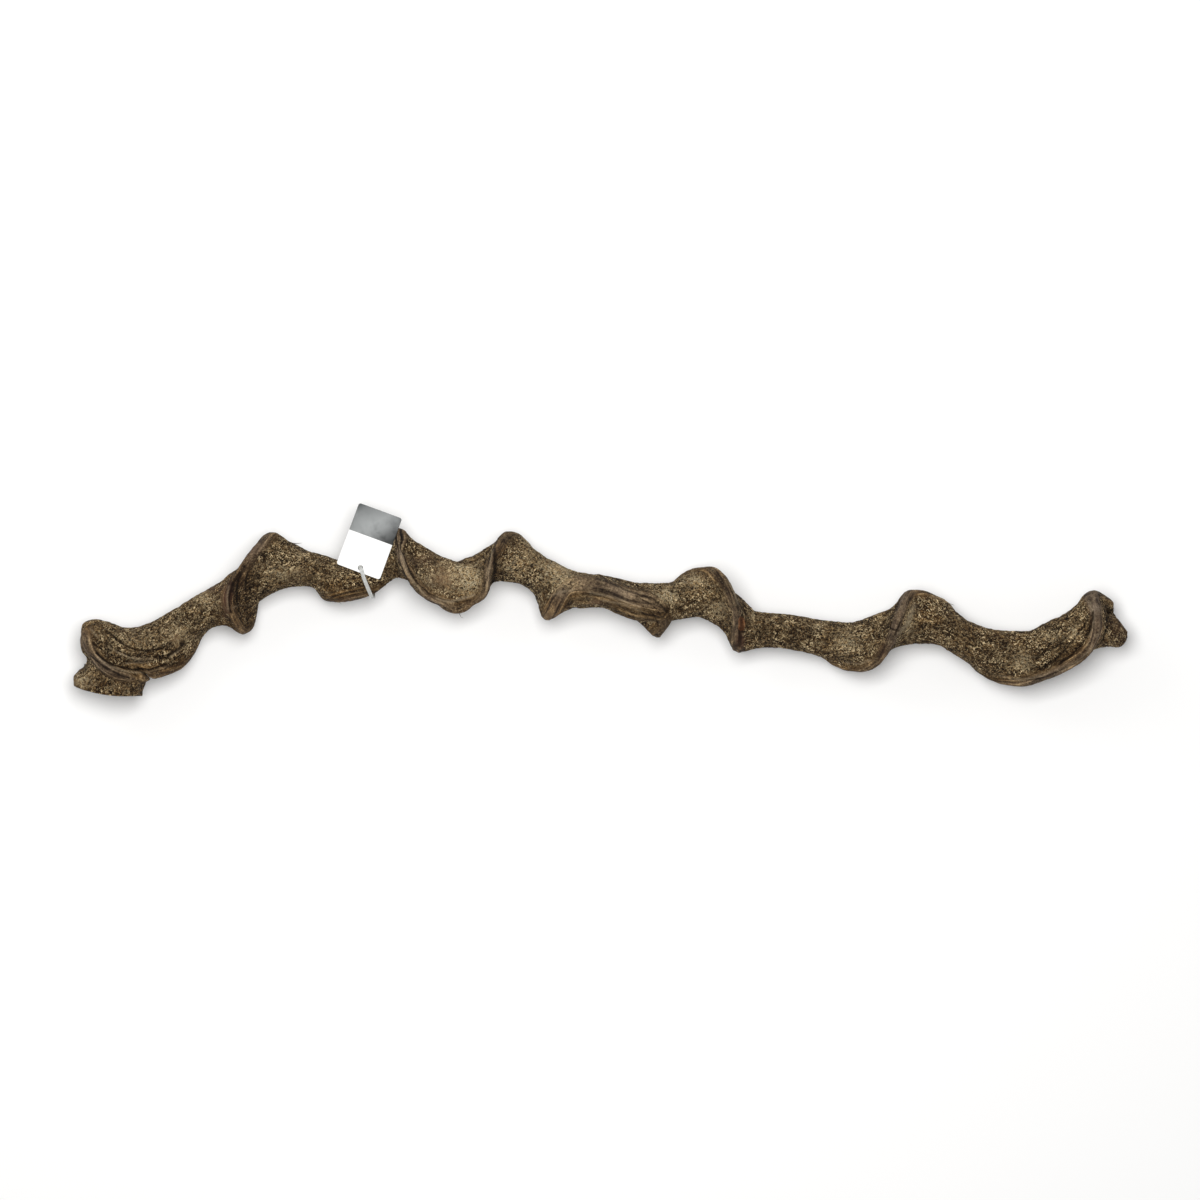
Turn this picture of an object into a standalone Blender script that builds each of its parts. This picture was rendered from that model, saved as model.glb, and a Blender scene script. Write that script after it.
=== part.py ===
"""Twisted vine: one length of dried liana with a winding flange, lying down, and its swing tag on a strap.

Metres, +Z up, +X along the vine. The vine lies on three low spots of its flange at z = 0.
Station tables are in millimetres from a datum corner: x to the right, y towards the near side, z over the floor.
"""
import math

import bmesh
import bpy
import numpy as np

MM = 0.001
DATUM_X = 600.20           # mm, where the origin lies in the station tables
DATUM_Y = 599.85
VINE_TRIANGLES = 10400     # facets kept on the grown piece

# The stub's cut runs back towards its left corner, as a parabola from STUB_TURN over STUB_SPAN, in mm.
STUB_CUT, STUB_LENGTH = 10.0, 26.5
STUB_TURN, STUB_SPAN = 125.0, 52.0

# The stem without its flange: axis x, y, z, then half its width and half its depth.
STEM = [
    (108, 696, 42, 34.2, 25),
    (108, 684, 42, 35.3, 25),
    (112.5, 676, 42, 32, 24),
    (115, 668, 43, 26, 23),
    (112, 656, 44, 31, 24),
    (112, 646, 44, 37.3, 26),
    (118, 643, 44, 35.5, 26),
    (124, 643, 44, 26, 25),
    (130, 644, 44, 17, 24),
    (138, 643, 43, 15.5, 22),
    (155, 638, 43, 15, 20),
    (178, 627, 43, 17, 20),
    (206, 610, 43, 17, 20),
    (233, 595, 42, 17, 20),
    (262, 577, 42, 18.5, 19),
    (290, 569, 42, 17.5, 18),
    (310, 569, 42, 15.5, 17),
    (340, 577, 42, 16, 17),
    (368, 573, 42, 16.5, 17),
    (395, 560, 42, 16.5, 17),
    (412, 562, 42, 17, 17),
    (430, 571, 42, 17.5, 17),
    (454, 580, 42, 17.5, 17),
    (475, 573, 42, 17.5, 17),
    (495, 564.5, 42, 16, 17),
    (518, 565, 42, 16.5, 17),
    (545, 576, 42, 16, 17),
    (575, 588, 42, 15, 17),
    (606, 590.5, 42, 13, 16),
    (638, 598.5, 42, 14, 16),
    (670, 599, 42, 15, 17),
    (700, 597.5, 42, 17, 18),
    (728, 610.5, 42, 17.5, 18),
    (750, 627.5, 42, 16.5, 18),
    (790, 632, 42, 16.5, 17),
    (825, 638, 42, 17, 17),
    (852, 641, 42, 18, 18),
    (880, 633, 42, 18, 18),
    (910, 626, 42, 17.5, 17),
    (940, 627.5, 42, 16, 18),
    (966, 640, 42, 17.5, 19),
    (1000, 651, 42, 20, 20),
    (1030, 651, 42, 19.5, 20),
    (1062, 638, 42, 19.5, 19),
    (1095, 630, 42, 18, 18),
    (1108, 632.5, 42, 14, 17),
    (1117, 634, 42, 11.5, 15),
    (1122, 635, 42, 9.5, 12),
    (1125.5, 634.5, 42, 6, 8),
    (1127, 635, 42, 1.5, 3),
]
# The flange's rim, point by point: x, y, z, then how far its two flanks spread (left and right of its course).
RIM_LEFT = [
    (144, 648, 16, 9, 9), (129, 654, 4, 9, 9), (114, 657, -3, 9, 10), (100, 653, 4, 9, 9),
    (89, 647, 22, 9, 9), (83, 639.5, 42, 9, 9),
    (86, 636, 58, 10, 9), (90.5, 650, 69, 10, 8), (99, 661, 77, 11, 8), (108, 669, 80, 12, 8),
    (120, 675, 77, 14, 8), (134, 678, 70, 16, 9), (149, 679, 61, 16, 10), (164, 676, 52, 14, 10),
    (179, 670, 42, 12, 10), (191, 656, 28, 10, 10), (198, 637, 16, 9, 9), (207, 618, 10, 9, 9),
    (216, 602, 12, 9, 9), (224, 594, 20, 9, 9),
]
RIM_MAIN = [
    (256, 594, 18, 9, 8), (253, 603, 20, 9, 8), (253.5, 614, 24, 9, 8), (252, 627.5, 31, 9, 8),
    (245, 634, 44, 9, 9), (239, 626.5, 58, 5, 9), (233.5, 614, 70, 5.5, 8), (229, 600, 78, 10, 8),
    (233, 586, 82, 8, 8), (242, 573, 80, 9, 8), (251, 556, 72, 10, 8), (262, 541, 60, 11, 9),
    (270, 532, 46, 10, 9), (281, 539.5, 32, 8, 9), (292, 545, 20, 8, 9), (301, 552, 8, 8, 9),
    (309, 567, 3, 9, 9), (318, 585, 6, 9, 9), (326, 600, 24, 9, 10), (338, 602, 42, 14, 11),
    (352, 600, 54, 18, 10), (366, 596, 54, 16, 10), (377, 588, 44, 10, 10), (384, 574, 24, 8, 8),
    (389, 557, 8, 8, 8), (395, 543, 14, 8, 8), (398, 533, 30, 8, 7), (398, 528, 44, 8, 5),
    (399, 538, 62, 8, 4.5), (400.5, 552, 76, 8, 4.5), (404, 566, 81, 9, 5.5), (411, 580, 80, 9, 8),
    (418, 590, 74, 10, 9), (427, 599, 64, 11, 9), (442, 606, 57, 12, 10), (458, 613.5, 53, 8, 10),
    (470, 606, 57, 11, 9), (481, 600, 63, 10, 8), (487, 590, 72, 9, 7), (488, 576, 81, 8, 7),
    (491.5, 561, 78, 5, 7), (497, 548, 68, 4.5, 8), (502.5, 536, 54, 6, 9), (509, 531, 42, 8, 9),
    (517, 534, 28, 8, 9), (525, 548, 8, 8, 9), (532, 568, -3, 9, 10), (538, 590, 8, 10, 9),
    (542, 607, 22, 10, 9), (545, 620, 42, 10, 9), (550, 614, 60, 10, 11), (556, 602, 74, 9, 15),
    (565, 590, 80, 9, 20), (580, 582, 82, 9, 23), (600, 584, 82, 9, 20), (618, 591, 81, 9, 20),
    (633, 597, 80, 9, 25), (648, 600, 80, 9, 28), (657, 605, 78, 8, 26), (663, 614, 71, 8, 21),
    (663, 626, 59, 8, 15), (658, 637.5, 44, 8, 15.5), (660, 632, 26, 8, 8), (665, 616, 10, 8, 8),
    (672, 595, 4, 8, 8), (680, 579, 12, 8, 8), (690, 571, 28, 9, 9), (701, 567, 42, 9, 9),
    (712, 567, 56, 8, 10), (721, 574, 70, 7, 10), (728, 585, 78, 7, 8), (733, 598, 82, 6, 8),
    (736.5, 612, 79, 6, 6.5), (736.5, 628, 69, 6, 7), (734.8, 646.5, 55, 7, 7.5), (736, 652, 42, 8, 7.5),
    (745, 648, 24, 9, 9), (757, 641, 12, 10, 10), (776, 632, 9, 10, 10), (798, 630, 9, 10, 10),
    (813, 640, 12, 10, 10), (826, 655, 18, 10, 10), (838, 666, 26, 10, 10), (850, 671, 38, 10, 10),
    (863, 672, 48, 11, 10), (877, 665, 58, 11, 7), (886, 652, 70, 9, 7), (892, 637, 79, 8, 8),
    (896, 622, 83, 8, 8), (900, 609, 80, 7, 8), (905, 597, 68, 8, 9), (910, 590, 54, 9, 9),
    (920, 590, 44, 9, 10), (933, 595, 34, 9, 10), (944, 601, 22, 8, 9), (951, 613, 8, 8, 9),
    (959, 632, -3, 10, 10), (970, 655, 8, 9, 9), (981, 671, 22, 10, 10), (993, 680, 36, 11, 10),
    (1007, 685, 46, 12, 11), (1023, 686, 54, 12, 11), (1038, 681, 59, 12, 11), (1053, 676, 62, 12, 10),
    (1068, 668, 65, 12, 10), (1082, 659, 69, 11, 9), (1091, 645.5, 75, 10, 8), (1096, 626, 79, 10, 8),
    (1095, 608, 73, 9, 8), (1091, 594.5, 62, 9, 8), (1094, 590, 48, 11, 8), (1107, 597, 38, 9, 7),
    (1112, 601, 32, 7, 3), (1110, 607, 24, 6, 3),
]

# Swing tag: a thin card with rounded corners and a punched hole near its short edge.
TAG_W, TAG_H, TAG_T = 46.0 * MM, 65.6 * MM, 0.8 * MM
TAG_CORNER = 2.6 * MM
TAG_HOLE_R = 2.6 * MM
TAG_HOLE_IN = 4.8 * MM     # hole centre in from the short edge
TAG_HOLE_SIDE = 0.8 * MM   # and off the card's middle line
TAG_CENTRE = (369.8, 541.4, 63.4)
TAG_TURN = -20.2           # degrees, its width against +X, seen from above
TAG_TILT = 6.0             # degrees, its far short edge hanging lower

# Strap: a flat plastic band through the hole and once round the stem, with a small lock.
STRAP_W, STRAP_T = 3.7 * MM, 1.1 * MM
LOCK_W, LOCK_T, LOCK_L = 6.0 * MM, 3.6 * MM, 7.5 * MM
STRAP_LEAD = (0.36, -0.93, 0.0)   # the way it leaves the hole, over the card's near edge


def hermite(at, values, x):
    """Cubic through the stations that never overshoots them: end slopes are harmonic means of the chords."""
    at, values = np.asarray(at, float), np.asarray(values, float)
    step = np.diff(at)[:, None]
    chord = np.diff(values, axis=0) / step
    w1, w2 = 2 * step[1:] + step[:-1], step[1:] + 2 * step[:-1]
    same = chord[:-1] * chord[1:] > 0
    low = np.where(same, chord[:-1], 1.0)
    high = np.where(same, chord[1:], 1.0)
    inner = np.where(same, (w1 + w2) / (w1 / low + w2 / high), 0.0)
    slope = np.concatenate([chord[:1], inner, chord[-1:]])
    i = np.clip(np.searchsorted(at, x) - 1, 0, len(at) - 2)
    h = step[i]
    t = ((x - at[i]) / h[:, 0])[:, None]
    return ((2 * t**3 - 3 * t**2 + 1) * values[i] + (t**3 - 2 * t**2 + t) * h * slope[i]
            + (3 * t**2 - 2 * t**3) * values[i + 1] + (t**3 - t**2) * h * slope[i + 1])


def soften(rows, step, width):
    """Moving mean with a bell weight of the given width, both ends held by mirroring."""
    reach = max(1, int(3.5 * width / step))
    weight = np.exp(-0.5 * (np.arange(-reach, reach + 1) * step / width) ** 2)
    weight /= weight.sum()
    padded = np.concatenate([2 * rows[:1] - rows[reach:0:-1], rows, 2 * rows[-1:] - rows[-2:-reach - 2:-1]])
    return np.stack([np.convolve(padded[:, j], weight, "valid") for j in range(rows.shape[1])], 1)


def path(rows, step, width):
    """Stations in mm from the datum -> an even run of softened points in the part's own axes, still in mm."""
    rows = np.array(rows, float)
    rows[:, 0] -= DATUM_X
    rows[:, 1] = DATUM_Y - rows[:, 1]
    at = np.concatenate([[0], np.cumsum(np.linalg.norm(np.diff(rows[:, :3], axis=0), axis=1))])
    count = int(at[-1] / step) + 1
    t = np.linspace(0, at[-1], count)
    return t, soften(hermite(at, rows, t), t[1] - t[0], width)


def stem_frame():
    """The stem's axis with its cross-section directions, which turn slowly round the bend at the cut stub."""
    t, stem = path(STEM, 0.5, 5.0)
    step = t[1] - t[0]
    course = np.gradient(stem[:, :3], t, axis=0)
    slow, quick = soften(course, step, 31.0), soften(course, step, 7.0)
    near = (1 / (1 + np.exp((t - 120.0) / 12.0)))[:, None]
    along = slow * near + quick * (1 - near)
    along /= np.linalg.norm(along, axis=1)[:, None]
    side = np.cross([0.0, 0.0, 1.0], along)
    side /= np.linalg.norm(side, axis=1)[:, None]
    front = np.cross(along, side)
    return t, stem, along, side, front


def rim_on_stem(rows, frame):
    """Where each rim point stands over the unrolled stem: distance along it, angle round it, reach from the axis."""
    t, stem, along, side, front = frame
    _, rim = path(rows, 1.0, 2.2)
    place = np.zeros((len(rim), 5))
    for k, point in enumerate(rim):
        arm = point[:3] - stem[:, :3]
        off = np.abs((arm * along).sum(1)) + 0.15 * np.linalg.norm(arm, axis=1)
        i = int(np.argmin(off))
        place[k] = (t[i], math.atan2(arm[i] @ side[i], arm[i] @ front[i]),
                    math.hypot(arm[i] @ side[i], arm[i] @ front[i]), point[3], point[4])
    place[:, 1] = np.unwrap(place[:, 1])
    place[:, :3] = soften(place[:, :3], 1.0, 1.6)
    return place


def vine_surface(sections, around):
    """Grid of points on the vine, (section, round it).

    The stem is an oval, 1 / sqrt((sin a / width)^2 + (cos a / depth)^2). The flange raises it to the rim's reach,
    falling off with the distance q from the rim over the unrolled bark as 1 / (1 + q^2.4).
    """
    frame = stem_frame()
    t, stem, along, side, front = frame
    rims = [rim_on_stem(RIM_LEFT, frame), rim_on_stem(RIM_MAIN, frame)]
    crowd = np.zeros(len(t))
    for rim in rims:
        run = np.hypot(np.gradient(rim[:, 0]), 30 * np.gradient(rim[:, 1]))
        crowd += np.histogram(rim[:, 0], bins=np.append(t, t[-1] + 0.5), weights=run)[0]
    crowd = 1.0 + 0.35 * soften(crowd[:, None], 0.5, 4.0)[:, 0] / 0.5
    share = np.concatenate([[0], np.cumsum((crowd[1:] + crowd[:-1]) / 2)])
    rows = np.interp(np.linspace(0, share[-1], sections), share, t)
    take = lambda a: np.stack([np.interp(rows, t, a[:, j]) for j in range(a.shape[1])], 1)
    stem, side, front = take(stem), take(side), take(front)
    angle = np.linspace(-math.pi, math.pi, around, endpoint=False)
    wide, deep = stem[:, 3][:, None], stem[:, 4][:, None]
    body = 1 / np.sqrt((np.sin(angle) / wide) ** 2 + (np.cos(angle) / deep) ** 2)
    raised = np.zeros_like(body)
    for rim in rims:
        go = np.gradient(rim[:, 0])
        turn = 28.0 * np.gradient(rim[:, 1])
        size = np.hypot(go, turn) + 1e-9
        for i, place in enumerate(rows):
            near = np.abs(rim[:, 0] - place) < 75.0
            if not near.any():
                continue
            r = rim[near]
            ahead = (place - r[:, 0])[:, None]
            round_it = 28.0 * ((angle[None, :] - r[:, 1][:, None] + math.pi) % (2 * math.pi) - math.pi)
            cross = (go[near, None] * round_it - turn[near, None] * ahead) / size[near, None]
            lean = 0.5 + 0.5 * np.tanh(cross / 4.0)
            spread = r[:, 3][:, None] * lean + r[:, 4][:, None] * (1 - lean)
            q = np.hypot(ahead, round_it) / spread
            lift = np.maximum(r[:, 2][:, None] - body[i][None, :], 0) / (1 + q**2.4)
            raised[i] = np.maximum(raised[i], lift.max(0))
    radius = body + raised
    grid = (stem[:, None, :3] + (radius * np.cos(angle))[..., None] * front[:, None, :]
            + (radius * np.sin(angle))[..., None] * side[:, None, :])
    askew = np.clip((STUB_TURN - DATUM_X - grid[..., 0]) / STUB_SPAN, 0, 1) ** 2
    grid[..., 1] += STUB_CUT * askew * np.clip(1 - rows / STUB_LENGTH, 0, 1)[:, None]
    grid[..., 2] = np.maximum(grid[..., 2], 0.0)
    return grid * MM


def material(name, colour, rough):
    mat = bpy.data.materials.new(name)
    mat.use_nodes = True
    shader = mat.node_tree.nodes["Principled BSDF"]
    shader.inputs["Base Color"].default_value = (*colour, 1.0)
    shader.inputs["Roughness"].default_value = rough
    return mat


def new_object(name, points, faces, mat):
    mesh = bpy.data.meshes.new(name)
    mesh.from_pydata([tuple(map(float, p)) for p in points], [], faces)
    mesh.materials.append(mat)
    obj = bpy.data.objects.new(name, mesh)
    bpy.context.collection.objects.link(obj)
    return obj


def face_outwards(obj):
    bm = bmesh.new()
    bm.from_mesh(obj.data)
    bmesh.ops.recalc_face_normals(bm, faces=bm.faces)
    if bm.calc_volume(signed=True) < 0:
        bmesh.ops.reverse_faces(bm, faces=bm.faces)
    bm.to_mesh(obj.data)
    bm.free()


def build_vine():
    """The grown piece: bark surface closed by a flat cut at each end, then thinned to its facets."""
    sections, around = 620, 72
    grid = vine_surface(sections, around)
    points = list(grid.reshape(-1, 3))
    faces = []
    for i in range(sections - 1):
        for j in range(around):
            k = (j + 1) % around
            faces.append((i * around + j, i * around + k, (i + 1) * around + k, (i + 1) * around + j))
    for row, ends in ((0, grid[0]), (sections - 1, grid[-1])):
        middle = len(points)
        points.append(ends.mean(0))
        for j in range(around):
            faces.append((row * around + j, row * around + (j + 1) % around, middle))
    vine = new_object("vine", points, faces, material("bark", (0.16, 0.11, 0.065), 0.85))
    face_outwards(vine)
    thin = vine.modifiers.new("thin", "DECIMATE")
    triangles = sum(len(p.vertices) - 2 for p in vine.data.polygons)
    thin.ratio = VINE_TRIANGLES / triangles
    bpy.context.view_layer.objects.active = vine
    vine.select_set(True)
    bpy.ops.object.modifier_apply(modifier="thin")
    for v in vine.data.vertices:
        if v.co.z < 0.15 * MM:
            v.co.z = 0.0
    face_outwards(vine)
    return vine


def tag_axes():
    """Middle of the card, its width direction, its length direction (towards the far edge) and its face normal."""
    middle = np.array([TAG_CENTRE[0] - DATUM_X, DATUM_Y - TAG_CENTRE[1], TAG_CENTRE[2]]) * MM
    turn, tilt = math.radians(TAG_TURN), math.radians(TAG_TILT)
    wide = np.array([math.cos(turn), math.sin(turn), 0.0])
    flat = np.array([-math.sin(turn), math.cos(turn), 0.0])
    far = flat * math.cos(tilt) - np.array([0, 0, 1.0]) * math.sin(tilt)
    return middle, wide, far, np.cross(wide, far)


def build_tag():
    """Card outline with rounded corners and one round hole, given its thickness."""
    middle, wide, far, out = tag_axes()
    steps = 6
    outline = []
    corners = ((1, -1, -90), (1, 1, 0), (-1, 1, 90), (-1, -1, 180))
    for sx, sy, start in corners:
        for k in range(steps + 1):
            a = math.radians(start + 90 * k / steps)
            outline.append((sx * (TAG_W / 2 - TAG_CORNER) + TAG_CORNER * math.cos(a),
                            sy * (TAG_H / 2 - TAG_CORNER) + TAG_CORNER * math.sin(a)))
    hole_y = -TAG_H / 2 + TAG_HOLE_IN
    rim = len(outline)
    spokes = [2 * math.pi * k / 24 for k in range(24)]
    hole = [(TAG_HOLE_SIDE + TAG_HOLE_R * math.cos(a), hole_y + TAG_HOLE_R * math.sin(a)) for a in spokes]
    bm = bmesh.new()
    flat = [bm.verts.new((x, y, 0.0)) for x, y in outline]
    ring = [bm.verts.new((x, y, 0.0)) for x, y in hole]
    edges = [bm.edges.new((flat[k], flat[(k + 1) % rim])) for k in range(rim)]
    edges += [bm.edges.new((ring[k], ring[(k + 1) % 24])) for k in range(24)]
    bmesh.ops.triangle_fill(bm, use_beauty=True, edges=edges)
    top = bmesh.ops.extrude_face_region(bm, geom=bm.faces[:])
    for v in top["geom"]:
        if isinstance(v, bmesh.types.BMVert):
            v.co.z = TAG_T
    for v in bm.verts:
        x, y, z = v.co
        v.co = middle + wide * x + far * y + out * (z - TAG_T / 2)
    mesh = bpy.data.meshes.new("hang_tag")
    bm.to_mesh(mesh)
    bm.free()
    mesh.materials.append(material("card", (0.86, 0.86, 0.86), 0.45))
    tag = bpy.data.objects.new("hang_tag", mesh)
    bpy.context.collection.objects.link(tag)
    face_outwards(tag)
    return tag


def strap_course():
    """Closed course of the strap's middle line in mm: through the hole, over the front, round the back and up."""
    middle, wide, far, out = tag_axes()
    hole = (middle + far * (-TAG_H / 2 + TAG_HOLE_IN) + wide * TAG_HOLE_SIDE) / MM
    lead = np.array(STRAP_LEAD)
    lead = lead - (lead @ out) * out
    lead /= np.linalg.norm(lead)
    course = [
        hole + out * -1.8 - lead * 0.7,
        hole + out * 0.8 - lead * 0.4,
        hole + out * 2.7 + lead * 1.1,
        hole + out * 2.9 + lead * 4.4,
    ]
    rest = [
        (364.6, 578.5, 67.0), (367.8, 586.8, 62.4), (371.1, 594.9, 56.5), (372.6, 598.2, 49.5),
        (373.2, 597.3, 41.0), (372.8, 590.5, 29.0), (370.6, 580.0, 22.0), (368.0, 569.0, 20.6),
        (365.5, 558.8, 25.5), (363.2, 552.8, 35.0), (361.4, 551.4, 45.0), (360.2, 554.0, 54.5),
        (360.0, 559.5, 60.6),
    ]
    course += [np.array([x - DATUM_X, DATUM_Y - y, z]) for x, y, z in rest]
    return np.array(course)


def build_strap():
    """Flat band swept round the closed course, thicker over the short length of its lock."""
    knots = strap_course()
    closed = np.concatenate([knots[-3:], knots, knots[:4]])
    at = np.concatenate([[0], np.cumsum(np.sqrt(np.linalg.norm(np.diff(closed, axis=0), axis=1)))])
    first, last = at[3], at[3 + len(knots)]
    n = 168
    s = np.linspace(first, last, n, endpoint=False)
    i = np.clip(np.searchsorted(at, s, side="right") - 1, 1, len(closed) - 3)
    slope = (closed[2:] - closed[:-2]) / (at[2:] - at[:-2])[:, None]
    h = (at[i + 1] - at[i])[:, None]
    u = ((s - at[i])[:, None]) / h
    line = ((2 * u**3 - 3 * u**2 + 1) * closed[i] + (u**3 - 2 * u**2 + u) * h * slope[i - 1]
            + (3 * u**2 - 2 * u**3) * closed[i + 1] + (u**3 - u**2) * h * slope[i])
    go = np.roll(line, -1, 0) - np.roll(line, 1, 0)
    go /= np.linalg.norm(go, axis=1)[:, None]
    plane = np.array([-STRAP_LEAD[1], STRAP_LEAD[0], 0.0])
    across = plane - (go @ plane)[:, None] * go
    across /= np.linalg.norm(across, axis=1)[:, None]
    outer = np.cross(go, across)
    lock_at = np.array([361.6 - DATUM_X, DATUM_Y - 551.6, 42.0])
    apart = np.linalg.norm(line - lock_at, axis=1) * MM
    grow = 1 / (1 + (apart / (LOCK_L / 2)) ** 8)
    half_w = (STRAP_W + (LOCK_W - STRAP_W) * grow) / 2
    half_t = (STRAP_T + (LOCK_T - STRAP_T) * grow) / 2
    shift = half_t - STRAP_T / 2
    profile = [(-1, -0.5), (-0.75, -1), (0.75, -1), (1, -0.5), (1, 0.5), (0.75, 1), (-0.75, 1), (-1, 0.5)]
    points, faces = [], []
    away = np.sign((outer * (line - line.mean(0))).sum(1))
    for k in range(n):
        base = line[k] * MM + outer[k] * away[k] * shift[k]
        for a, b in profile:
            points.append(base + across[k] * a * half_w[k] + outer[k] * b * half_t[k])
    m = len(profile)
    for k in range(n):
        for j in range(m):
            a, b = k * m, ((k + 1) % n) * m
            faces.append((a + j, a + (j + 1) % m, b + (j + 1) % m, b + j))
    strap = new_object("tag_loop", points, faces, material("clear_plastic", (0.78, 0.80, 0.80), 0.35))
    face_outwards(strap)
    return strap


for old in list(bpy.data.objects):
    bpy.data.objects.remove(old, do_unlink=True)
build_vine()
build_tag()
build_strap()
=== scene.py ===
"""Twisted vine with its swing tag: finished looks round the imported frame. Metres, +Z up, floor at z = 0."""
import math
import bpy
import numpy as np
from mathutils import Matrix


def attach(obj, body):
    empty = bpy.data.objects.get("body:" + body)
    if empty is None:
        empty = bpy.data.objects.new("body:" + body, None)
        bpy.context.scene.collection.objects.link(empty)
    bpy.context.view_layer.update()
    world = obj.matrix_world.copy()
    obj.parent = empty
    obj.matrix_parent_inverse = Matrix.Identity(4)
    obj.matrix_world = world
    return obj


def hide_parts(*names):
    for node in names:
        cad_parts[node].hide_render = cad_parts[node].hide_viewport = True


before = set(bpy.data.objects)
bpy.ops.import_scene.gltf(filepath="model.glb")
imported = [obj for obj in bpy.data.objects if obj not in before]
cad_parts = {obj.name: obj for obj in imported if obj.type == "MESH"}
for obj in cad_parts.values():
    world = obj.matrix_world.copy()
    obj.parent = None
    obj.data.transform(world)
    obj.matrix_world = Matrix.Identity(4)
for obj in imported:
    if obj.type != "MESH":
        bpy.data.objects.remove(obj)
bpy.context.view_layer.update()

# The place: a pale floor with the vine lying on it, seen from straight above through a long lens.
# One broad soft light overhead, one to the far left, and an even pale surround.
FLOOR_SIDE, FLOOR_TOP = 16.0, -0.0003        # metres: the floor lies a hair under the vine's low spots
CAMERA_HEIGHT, CAMERA_SENSOR = 9.0, 36.0
VIEW_WIDTH, VIEW_PLANE = 1.2, 0.045          # metres: the picture's width at the vine's middle, its height
VIEW_X, VIEW_Y = -0.0002, -0.00015
SURROUND_LIGHT = 0.33
LAMPS = [                                    # name, place, aim, side, watts, colour
    ("overhead", (-0.12, 0.34, 3.3), (0.0, 0.0, 0.0), 1.5, 98.0, (1.0, 0.995, 0.985)),
    ("far_left", (-1.7, 1.5, 1.5), (0.0, 0.0, 0.05), 1.4, 9.0, (1.0, 0.985, 0.96)),
]

half = FLOOR_SIDE / 2
corners = [(x, y, FLOOR_TOP) for x, y in ((-half, -half), (half, -half), (half, half), (-half, half))]
floor_mesh = bpy.data.meshes.new("floor")
floor_mesh.from_pydata(corners, [], [(0, 1, 2, 3)])
floor = bpy.data.objects.new("floor", floor_mesh)
bpy.context.collection.objects.link(floor)
floor_mat = bpy.data.materials.new("pale_floor")
floor_mat.use_nodes = True
floor_shader = floor_mat.node_tree.nodes["Principled BSDF"]
floor_shader.inputs["Base Color"].default_value = (0.90, 0.90, 0.90, 1.0)
floor_shader.inputs["Roughness"].default_value = 0.85
floor_shader.inputs["Specular IOR Level"].default_value = 0.15
floor_mesh.materials.append(floor_mat)

world = bpy.data.worlds.new("surround")
world.use_nodes = True
world.node_tree.nodes["Background"].inputs["Color"].default_value = (1.0, 1.0, 1.0, 1.0)
world.node_tree.nodes["Background"].inputs["Strength"].default_value = SURROUND_LIGHT
bpy.context.scene.world = world
bpy.context.scene.view_settings.view_transform = "Standard"


def soft_light(name, place, aim, side, power, colour):
    """Square area light of the given side, turned from its place towards the point it is aimed at."""
    data = bpy.data.lights.new(name, "AREA")
    data.shape = "SQUARE"
    data.size = side
    data.energy = power
    data.color = colour
    lamp = bpy.data.objects.new(name, data)
    bpy.context.collection.objects.link(lamp)
    x, y, z = (a - b for a, b in zip(aim, place))
    lamp.location = place
    lamp.rotation_euler = (math.atan2(math.hypot(x, y), -z), 0.0, math.atan2(y, x) - math.pi / 2)
    lamp.visible_camera = False


for lamp in LAMPS:
    soft_light(*lamp)

lens = bpy.data.cameras.new("camera")
lens.sensor_width = CAMERA_SENSOR
lens.lens = CAMERA_SENSOR * (CAMERA_HEIGHT - VIEW_PLANE) / VIEW_WIDTH
lens.clip_end = 60.0
camera = bpy.data.objects.new("camera", lens)
camera.location = (VIEW_X, VIEW_Y, CAMERA_HEIGHT)
bpy.context.collection.objects.link(camera)
bpy.context.scene.camera = camera

# The vine: one grown piece of dried liana, about 35 mm thick, whose stem carries one winding flange.
# Corky bark on the stem, smoother fibrous bark on the flange's rim, and both ends sawn or broken off.
MM = 0.001
DATUM_X, DATUM_Y = 600.20, 599.85            # mm: where the origin lies in the station tables
SECTIONS, ROUND, CAP_RINGS = 880, 110, 8     # points along the vine, round it, and across each cut face
STUB_CUT, STUB_LENGTH = 10.0, 26.5           # mm: the stub's cut runs back this far at its left corner
STUB_TURN, STUB_SPAN = 125.0, 52.0
STUB_BEND, STUB_FADE = 120.0, 12.0           # mm: up to here the cross-sections turn slowly
STEM_STEP, STEM_EASE = 0.5, 5.0              # mm: steps along the axis, and the width of its smoothing
SLOW_EASE, QUICK_EASE = 31.0, 7.0            # mm: smoothing of the axis's direction, at the stub and past it
RIM_STEP, RIM_EASE, RIM_SETTLE = 1.0, 2.2, 1.6   # mm: steps along the rim, and its two smoothings
UNROLLED, CROWDED = 28.0, 30.0               # mm: the radii on which a turn round the stem is measured
RIM_NEAR, RIM_LEAN = 75.0, 4.0               # mm: how far a rim is felt, and where its two flanks blend
RIM_FALL = 2.4                               # the power by which the flanks fall away from the rim
NO_RIM, NEXT_RIM = 60.0, 5000.0              # mm: where no rim is near, and from one rim's run to the next
STEM_RADIUS, RIM_BARK = 17.0, 9.0            # mm: the stem's own radius, and the reach of the rim's bark
UPPER_FROM = 36.0                            # mm: the height where the side seen from above begins
# Sizes in mm of the bark's lumps, cork plates, curls, strands and crumbs, and of clouds of dust.
LUMP, PLATE, CURL = 9.0, (3.6, 3.6, 12.0), 3.4
STRAND, CRUMB, CLOUD = (3.3, 34.0, 1.0), 2.6, 30.0

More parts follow.
